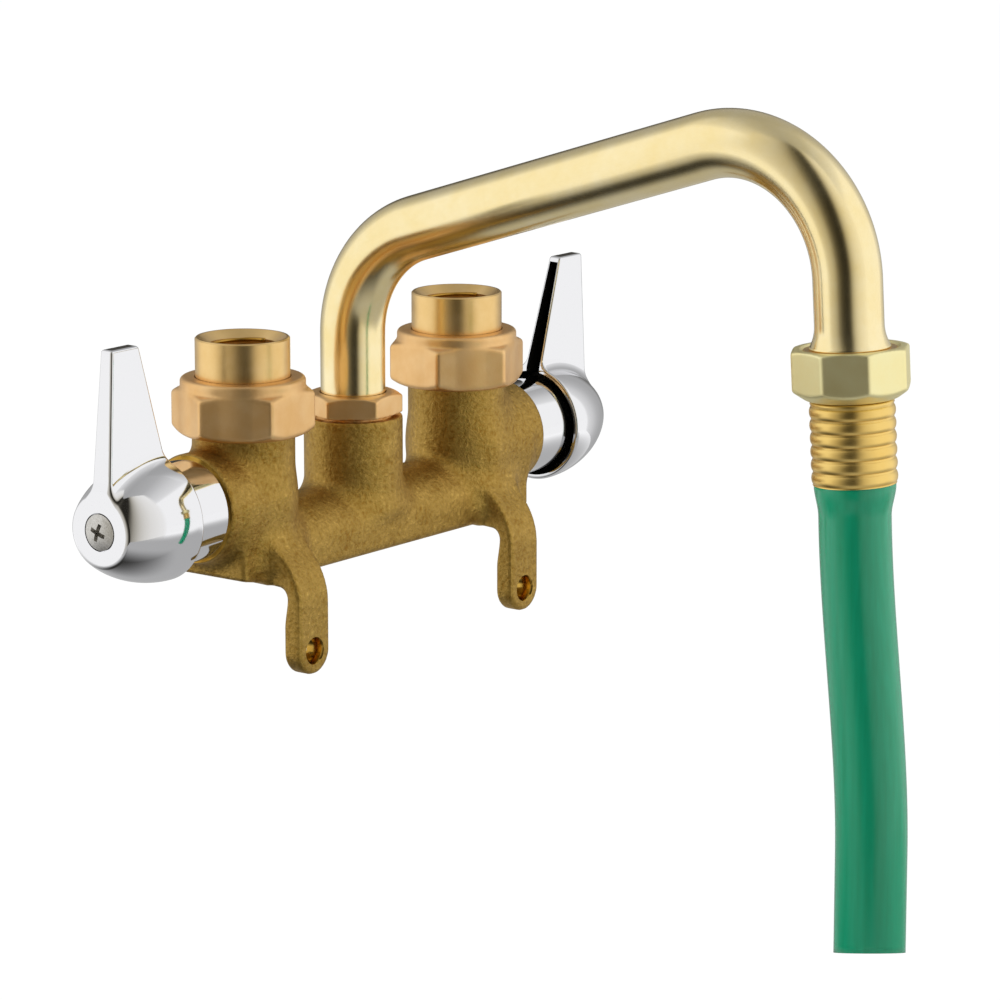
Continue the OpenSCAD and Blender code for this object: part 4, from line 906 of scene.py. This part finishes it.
# %% [markdown]
# ## Levers
# Each lever is a zinc casting under chrome: a hollow domed hub with a flat nose, and a blade that
# tapers in width and in thickness and is hollow along its inner edge. The same distances make the
# soft edges that plating needs, and the small fillet where the blade leaves the dome. Booleans take
# out the hollows and leave unplated zinc there, coloured near-black as painted shade. The hot lever
# mirrors the cold one.

# %% Lever shape
TILT = math.radians(1.5)
NOSE, HUB_EDGE, HUB_R, DOME_START, DOME_R = 113.8, 89.4, 18.1, 90.2, 40.23
BLADE_TOP, BLADE_HALF, BLADE_TAPER = 52.0, 3.8, 1.6


def inner_edge(z):
    return 87.2 + (z - 10.45) * 12.5 / 41.55


def lever(p):
    x, z = p[:, 0], p[:, 2]
    ring = length(p[:, 1], z)
    dome = length(x - DOME_START, ring + (DOME_R - HUB_R)) - DOME_R
    dome = np.where(x < DOME_START, ring - HUB_R, dome)
    hub = keep(dome, x - NOSE, 0.6)
    y = p[:, 1] * math.cos(TILT) + z * math.sin(TILT)
    z = z * math.cos(TILT) - p[:, 1] * math.sin(TILT)
    rise = z / BLADE_TOP
    thick = np.abs(y) - (BLADE_HALF - BLADE_TAPER * rise)
    blade = keep(x - (NOSE - 2.6 * rise), thick, 0.8)
    blade = keep(keep(blade, z - BLADE_TOP, 0.9), 4 - z, 0.5)
    back = (np.maximum(HUB_EDGE, inner_edge(z)) - x) * 0.957
    whole = keep(join(hub, blade, 3.0), back, 0.8)
    return np.maximum(whole, x - NOSE)


points, quads = grow(lever, (88.5, -19.5, -19.5), (115, 19.5, 53.5), 0.36, 4)
print("lever skin", len(points), "points")

# %% Levers
BOX_FACES = [(3, 2, 1, 0), (4, 5, 6, 7), (0, 1, 5, 4), (1, 2, 6, 5), (2, 3, 7, 6), (3, 0, 4, 7)]
HOLLOW_HALF, HOLLOW_FOOT, HOLLOW_TOP = 3.05, 12.0, 50.4
screw_bores = ((111.8, 115, 5.6), (99, 109.4, 4.25), (109, 112, 2.3))


def hollow(z, side):
    """Four corners of the blade's hollow at one height."""
    x, half = inner_edge(z), HOLLOW_HALF - BLADE_TAPER * z / BLADE_TOP
    corners = np.array([(x - 2, -half), (x + 7, -half), (x + 7, half), (x - 2, half)])
    y = corners[:, 1] * math.cos(TILT) - z * math.sin(TILT)
    up = corners[:, 1] * math.sin(TILT) + z * math.cos(TILT)
    return np.stack([side * corners[:, 0], y, up], 1)


for side, name in ((1, "cold"), (-1, "hot")):
    order = quads if side > 0 else quads[:, ::-1]
    handle = mesh_piece("chromed_lever_" + name, points * (side, 1, 1), order)
    handle.data.materials.append(chrome)
    # The hub's cavity and the blade's hollow get the near-black zinc, which is painted shade
    drill(handle, (side * 88, 0, 0), (side * 100.2, 0, 0), (16.8, 15.4), unplated_zinc_painted_shade)
    corners = np.concatenate([hollow(HOLLOW_FOOT, side), hollow(HOLLOW_TOP, side)])
    cut_away(handle, corners, BOX_FACES, unplated_zinc_painted_shade)
    for start, end, radius in screw_bores:
        drill(handle, (side * start, 0, 0), (side * end, 0, 0), radius)
    crisp(handle, 40)
    assign(handle, "lever_" + name, "chrome_plate", "handle_" + name)

# %% [markdown]
# ## Handle screws
# An oval-head screw with a cross recess holds each lever. The head is a turned profile, and the
# recess is a tapered cross that a punch has pressed in, so a boolean takes it out of the head.

# %% Handle screws
HEAD_R, HEAD_RISE, SCREW_SIDES = 5.3, 1.1, 64
CROSS_HALF, CROSS_REACH, CROSS_IN, CROSS_OUT, CROSS_TAPER = 0.72, 3.1, 112.5, 115.3, 0.45


def revolve_x(profile, sides):
    """Rings round the valve axis from a profile of stations and radii."""
    angle = round_angles(sides)
    rings = [[(x, r * math.cos(a), r * math.sin(a)) for a in angle] for x, r in profile]
    return np.array(rings).reshape(-1, 3)


def cross_bar(side, degrees):
    """A tapered bar of the cross recess, with its small end inside the head."""
    points = []
    for x, k in ((CROSS_IN, CROSS_TAPER), (CROSS_OUT, 1.0)):
        for a, b in ((-1, -1), (1, -1), (1, 1), (-1, 1)):
            points.append((x * side, a * CROSS_HALF * k, b * CROSS_REACH * k))
    x, y, z = np.array(points).T
    turn = math.radians(degrees)
    spun = (x, y * math.cos(turn) - z * math.sin(turn), y * math.sin(turn) + z * math.cos(turn))
    return np.stack(spun, 1)


dome_r = (HEAD_R**2 + HEAD_RISE**2) / (2 * HEAD_RISE)
dome_x = NOSE + HEAD_RISE - dome_r
bow = np.linspace(math.asin(5.25 / dome_r), 0.002, 14)
profile = [(100.2, 0.01), (100.2, 2.0), (111.8, 2.0), (111.8, 5.0), (112.1, HEAD_R), (113.6, HEAD_R)]
profile += [(dome_x + dome_r * math.cos(a), dome_r * math.sin(a)) for a in bow]
last = (len(profile) - 1) * SCREW_SIDES
ends = [tuple(range(SCREW_SIDES)), tuple(range(last, last + SCREW_SIDES))]
screw_faces = ring_faces(len(profile), SCREW_SIDES) + ends
for side, name in ((1, "cold"), (-1, "hot")):
    screw_points = revolve_x(profile, SCREW_SIDES) * (side, 1, 1)
    screw = mesh_piece("cross_recessed_screw_" + name, screw_points, screw_faces)
    outward(screw)
    for degrees in (20, 110):
        cut_away(screw, cross_bar(side, degrees), BOX_FACES)
    crisp(screw, 35)
    dress(screw, steel, "lever_" + name, "screw_steel", "handle_screw_" + name)

# %% [markdown]
# ## Pipe threads
# The tailpieces take half-inch pipes, so their mouths carry a female thread, 14 turns to the inch.
# A thread is a rule: a spiral swept with a small section. Geometry Nodes make the spiral, and one run
# of the tree serves both inlets.

# %% Thread tree
thread, thread_inputs, given = start_tree(
    "pipe_thread", Turns="Float", Radius="Float", Length="Float", Crest="Float", Finish="Material"
)
wound = {"Rotations": given["Turns"], "Height": given["Length"]}
wound |= {"Start Radius": given["Radius"], "End Radius": given["Radius"]}
spiral = add(thread, "GeometryNodeCurveSpiral", values={"Resolution": 48}, links=wound)
crest = add(thread, circle, values={"Resolution": 6}, links={"Radius": given["Crest"]})
swept = {"Curve": spiral.outputs["Curve"], "Profile Curve": crest.outputs["Curve"]}
coil = add(thread, "GeometryNodeCurveToMesh", values={"Fill Caps": True}, links=swept)
end_tree(thread, coil.outputs["Mesh"], given["Finish"])

# %% Inlet threads
THREAD_PITCH, THREAD_TURNS, INLET_TOP = 25.4 / 14, 7.0, 44.9
thread_length = THREAD_TURNS * THREAD_PITCH
sizes = {"Turns": THREAD_TURNS, "Radius": 10.15, "Length": thread_length, "Crest": 0.62}
coil_points, coil_faces = run_tree(thread, thread_inputs, Finish=thread_brass, **sizes)
for side, name in ((-1, "hot"), (1, "cold")):
    placed = coil_points + (side * INLET_X, 0, INLET_TOP - thread_length)
    threads = mesh_piece("inlet_thread_" + name, placed, coil_faces)
    outward(threads)
    dress(threads, thread_brass, "faucet", "machined_brass")

# %% [markdown]
# ## Finishes of the kept solids
# The remaining nodes are right as they are. Each only needs its finish.

# %% Kept solids
kept = {
    upright_brass: ("union_tail", "spout_collar", "hose_end", "hose_tail"),
    crosswise_brass: ("seat", "bonnet", "packing_nut", "washer_holder", "washer_screw", "stem"),
    chrome: ("sleeve",),
    rubber: ("union_washer", "spout_o_ring", "hose_washer", "seat_washer", "stem_o_ring"),
    fibre: ("gasket",),
    graphite: ("packing",),
    nylon: ("spout_washer",),
}
for finish, names in kept.items():
    for name in names:
        for node in (name, name + "_hot", name + "_cold"):
            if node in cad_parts:
                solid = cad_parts[node]
                solid.data.materials.clear()
                solid.data.materials.append(finish)
print("kept solids finished")

# %% [markdown]
# ## Studio
# The photo has a plain white ground and large soft lights at both sides. Metal shows whatever stands
# round it, so a photographer sets flags: a dark one beside the camera draws the dark line down every
# tube, dark ones behind and below darken the undersides, and grey cards above, behind and below
# shape the edges. The ground is white to the camera and in reflections, and still takes a soft
# shadow.

# %% Ground and world
WHITE = (1, 1, 1, 1)
GROUND_Z, GROUND_HALF, SHADOW_SHARE = -0.35, 8, 0.08


def plain_white(tree):
    """How much of a surface is plain white: all of it for camera, mirror and glass rays."""
    path = add(tree, "ShaderNodeLightPath").outputs
    either = {0: path["Is Camera Ray"], 1: path["Is Glossy Ray"]}
    first = add(tree, "ShaderNodeMath", {"operation": "MAXIMUM"}, links=either)
    either = {0: first.outputs["Value"], 1: path["Is Transmission Ray"]}
    return add(tree, "ShaderNodeMath", {"operation": "MAXIMUM"}, links=either).outputs["Value"]


world = bpy.data.worlds.new("white_studio")
world.use_nodes = True
scene.world = world
tree = world.node_tree
tree.nodes.clear()
plain = add(tree, "ShaderNodeBackground", values={"Color": WHITE, "Strength": 1.0})
fill = add(tree, "ShaderNodeBackground", values={"Color": WHITE, "Strength": 0.58})
mixed = {0: plain_white(tree), 1: fill.outputs["Background"], 2: plain.outputs["Background"]}
both = add(tree, "ShaderNodeMixShader", links=mixed)
add(tree, "ShaderNodeOutputWorld", links={"Surface": both.outputs["Shader"]})

ground = bpy.data.objects.new("ground", bpy.data.meshes.new("ground"))
scene.collection.objects.link(ground)
square = ((-1, -1), (1, -1), (1, 1), (-1, 1))
corners = [(a * GROUND_HALF, b * GROUND_HALF, GROUND_Z) for a, b in square]
ground.data.from_pydata(corners, [], [(0, 1, 2, 3)])
paper, tree, shader, place = start_material("white_paper", Roughness=0.9, Base_Color=linear("#F4F4F2"))
glow = add(tree, "ShaderNodeEmission", values={"Color": WHITE, "Strength": 1.05})
part = {1: 1 - SHADOW_SHARE}
share = add(tree, "ShaderNodeMath", {"operation": "MULTIPLY"}, part, {0: plain_white(tree)})
mixed = {0: share.outputs["Value"], 1: shader.outputs["BSDF"], 2: glow.outputs["Emission"]}
both = add(tree, "ShaderNodeMixShader", links=mixed)
tree.links.new(both.outputs["Shader"], tree.nodes["Material Output"].inputs["Surface"])
ground.data.materials.append(paper)
print("ground at z in metres", GROUND_Z)

# %% Lamps
def soft_box(name, place, aim, size, power):
    """A soft box that lights dull surfaces; metal sees the white room and the flags instead."""
    lamp = bpy.data.lights.new(name, "AREA")
    lamp.shape, lamp.size, lamp.size_y, lamp.energy = "RECTANGLE", size[0], size[1], power
    lamp_object = bpy.data.objects.new(name, lamp)
    scene.collection.objects.link(lamp_object)
    lamp_object.location = place
    lamp_object.rotation_euler = (Vector(aim) - Vector(place)).to_track_quat("-Z", "Y").to_euler()
    lamp_object.visible_glossy = False


BOX_SIZE = (0.9, 1.4)
aim = (0, -0.06, 0.05)
soft_box("left_box", (-1.0, 0.9, 0.5), aim, BOX_SIZE, 14.5)
soft_box("right_box", (0.9, -1.2, 0.5), aim, BOX_SIZE, 18)
print("two soft boxes")


# %% Flags
def flag(name, centre, across, up, shades, soft, warm=0.0):
    """A card that only mirrors see. Shades run across it, and its rim fades into the white room."""
    centre, across, up = Vector(centre), Vector(across), Vector(up)
    made = bpy.data.objects.new(name, bpy.data.meshes.new(name))
    scene.collection.objects.link(made)
    made.data.from_pydata([centre + a * across + b * up for a, b in square], [], [(0, 1, 2, 3)])
    spread = made.data.uv_layers.new(name="UVMap")
    for corner, uv in zip(spread.data, square):
        corner.uv = uv
    cloth = bpy.data.materials.new(name + "_cloth")
    cloth.use_nodes = True
    tree = cloth.node_tree
    tree.nodes.clear()
    flat = add(tree, "ShaderNodeTexCoord").outputs["UV"]
    along = add(tree, "ShaderNodeSeparateXYZ", links={"Vector": flat})
    ends = {"From Min": -1.0, "From Max": 1.0}
    share = add(tree, "ShaderNodeMapRange", values=ends, links={"Value": along.outputs["X"]})
    tones = [(at, (v, v * (1 - 0.3 * warm * (1 - v)), v * (1 - warm * (1 - v)), 1)) for at, v in shades]
    shade = add(tree, "ShaderNodeValToRGB", links={"Fac": share.outputs["Result"]}, stops=tones)
    edge = add(tree, "ShaderNodeVectorMath", {"operation": "ABSOLUTE"}, links={0: flat})
    parts = add(tree, "ShaderNodeSeparateXYZ", links={"Vector": edge.outputs["Vector"]})
    either = {0: parts.outputs["X"], 1: parts.outputs["Y"]}
    furthest = add(tree, "ShaderNodeMath", {"operation": "MAXIMUM"}, links=either)
    smooth, rim = {"interpolation_type": "SMOOTHSTEP"}, {"From Min": 1.0 - soft, "From Max": 1.0}
    fade = add(tree, "ShaderNodeMapRange", smooth, rim, {"Value": furthest.outputs["Value"]})
    card = add(tree, "ShaderNodeEmission", links={"Color": shade.outputs["Color"]})
    clear = add(tree, "ShaderNodeBsdfTransparent")
    mixed = {0: fade.outputs["Result"], 1: card.outputs["Emission"], 2: clear.outputs["BSDF"]}
    both = add(tree, "ShaderNodeMixShader", links=mixed)
    add(tree, "ShaderNodeOutputMaterial", links={"Surface": both.outputs["Shader"]})
    made.data.materials.append(cloth)
    made.visible_camera = made.visible_diffuse = made.visible_shadow = False


def even(level):
    return ((0.0, level), (1.0, level))


print("flags fade at their rims")

# %% Setting the flags
toward = Vector((-looking.x, -looking.y, 0)).normalized()
upright = Vector((0, 0, 1))
centre = Vector(AXIS * MM)
# Each pair is a place across the card and its brightness; the two ends come first
room = [(0.0, 0.85), (1.0, 0.9), (0.278, 0.62), (0.4, 0.5), (0.444, 0.37), (0.5, 0.14)]
room += [(0.54, 0.06), (0.585, 0.02), (0.64, 0.02), (0.652, 0.12), (0.67, 0.35), (0.69, 0.5)]
room += [(0.711, 0.62), (0.739, 0.72), (0.789, 0.82), (0.889, 0.9)]
behind = [(0.0, 0.85), (1.0, 0.85), (0.04, 0.82), (0.183, 0.66), (0.277, 0.5), (0.347, 0.42)]
behind += [(0.5, 0.38), (0.653, 0.42), (0.723, 0.5), (0.817, 0.66), (0.96, 0.82)]
above = [(0.0, 0.86), (1.0, 0.86), (0.21, 0.66), (0.35, 0.47), (0.5, 0.4), (0.65, 0.47), (0.79, 0.66)]
at_camera = centre + 0.5 * toward - 0.1 * sideways + 0.55 * upright
flag("camera_flag", at_camera, 0.9 * sideways, 1.65 * upright, room, 0.2, 0.3)
at_back = centre - 0.7 * toward + 0.15 * upright
flag("back_flag", at_back, 0.34 * sideways, 0.3 * upright, even(0.06), 0.7, 0.2)
at_wall = centre - 0.8 * toward + 0.6 * upright
flag("back_card", at_wall, 1.5 * sideways, 1.6 * upright, behind, 0.15)
flag("top_card", centre + 2.0 * upright, 2.0 * sideways, 2.0 * toward, above, 0.15)
flag("table_flag", (-0.17, 0.04, -0.17), (0.21, 0, 0), (0, 0.28, 0), even(0.03), 0.85, 0.1)
flag("table_card", (0.0, -0.1, -0.18), (0.8, 0, 0), (0, 0.8, 0), even(0.45), 0.6)
print("six cards")
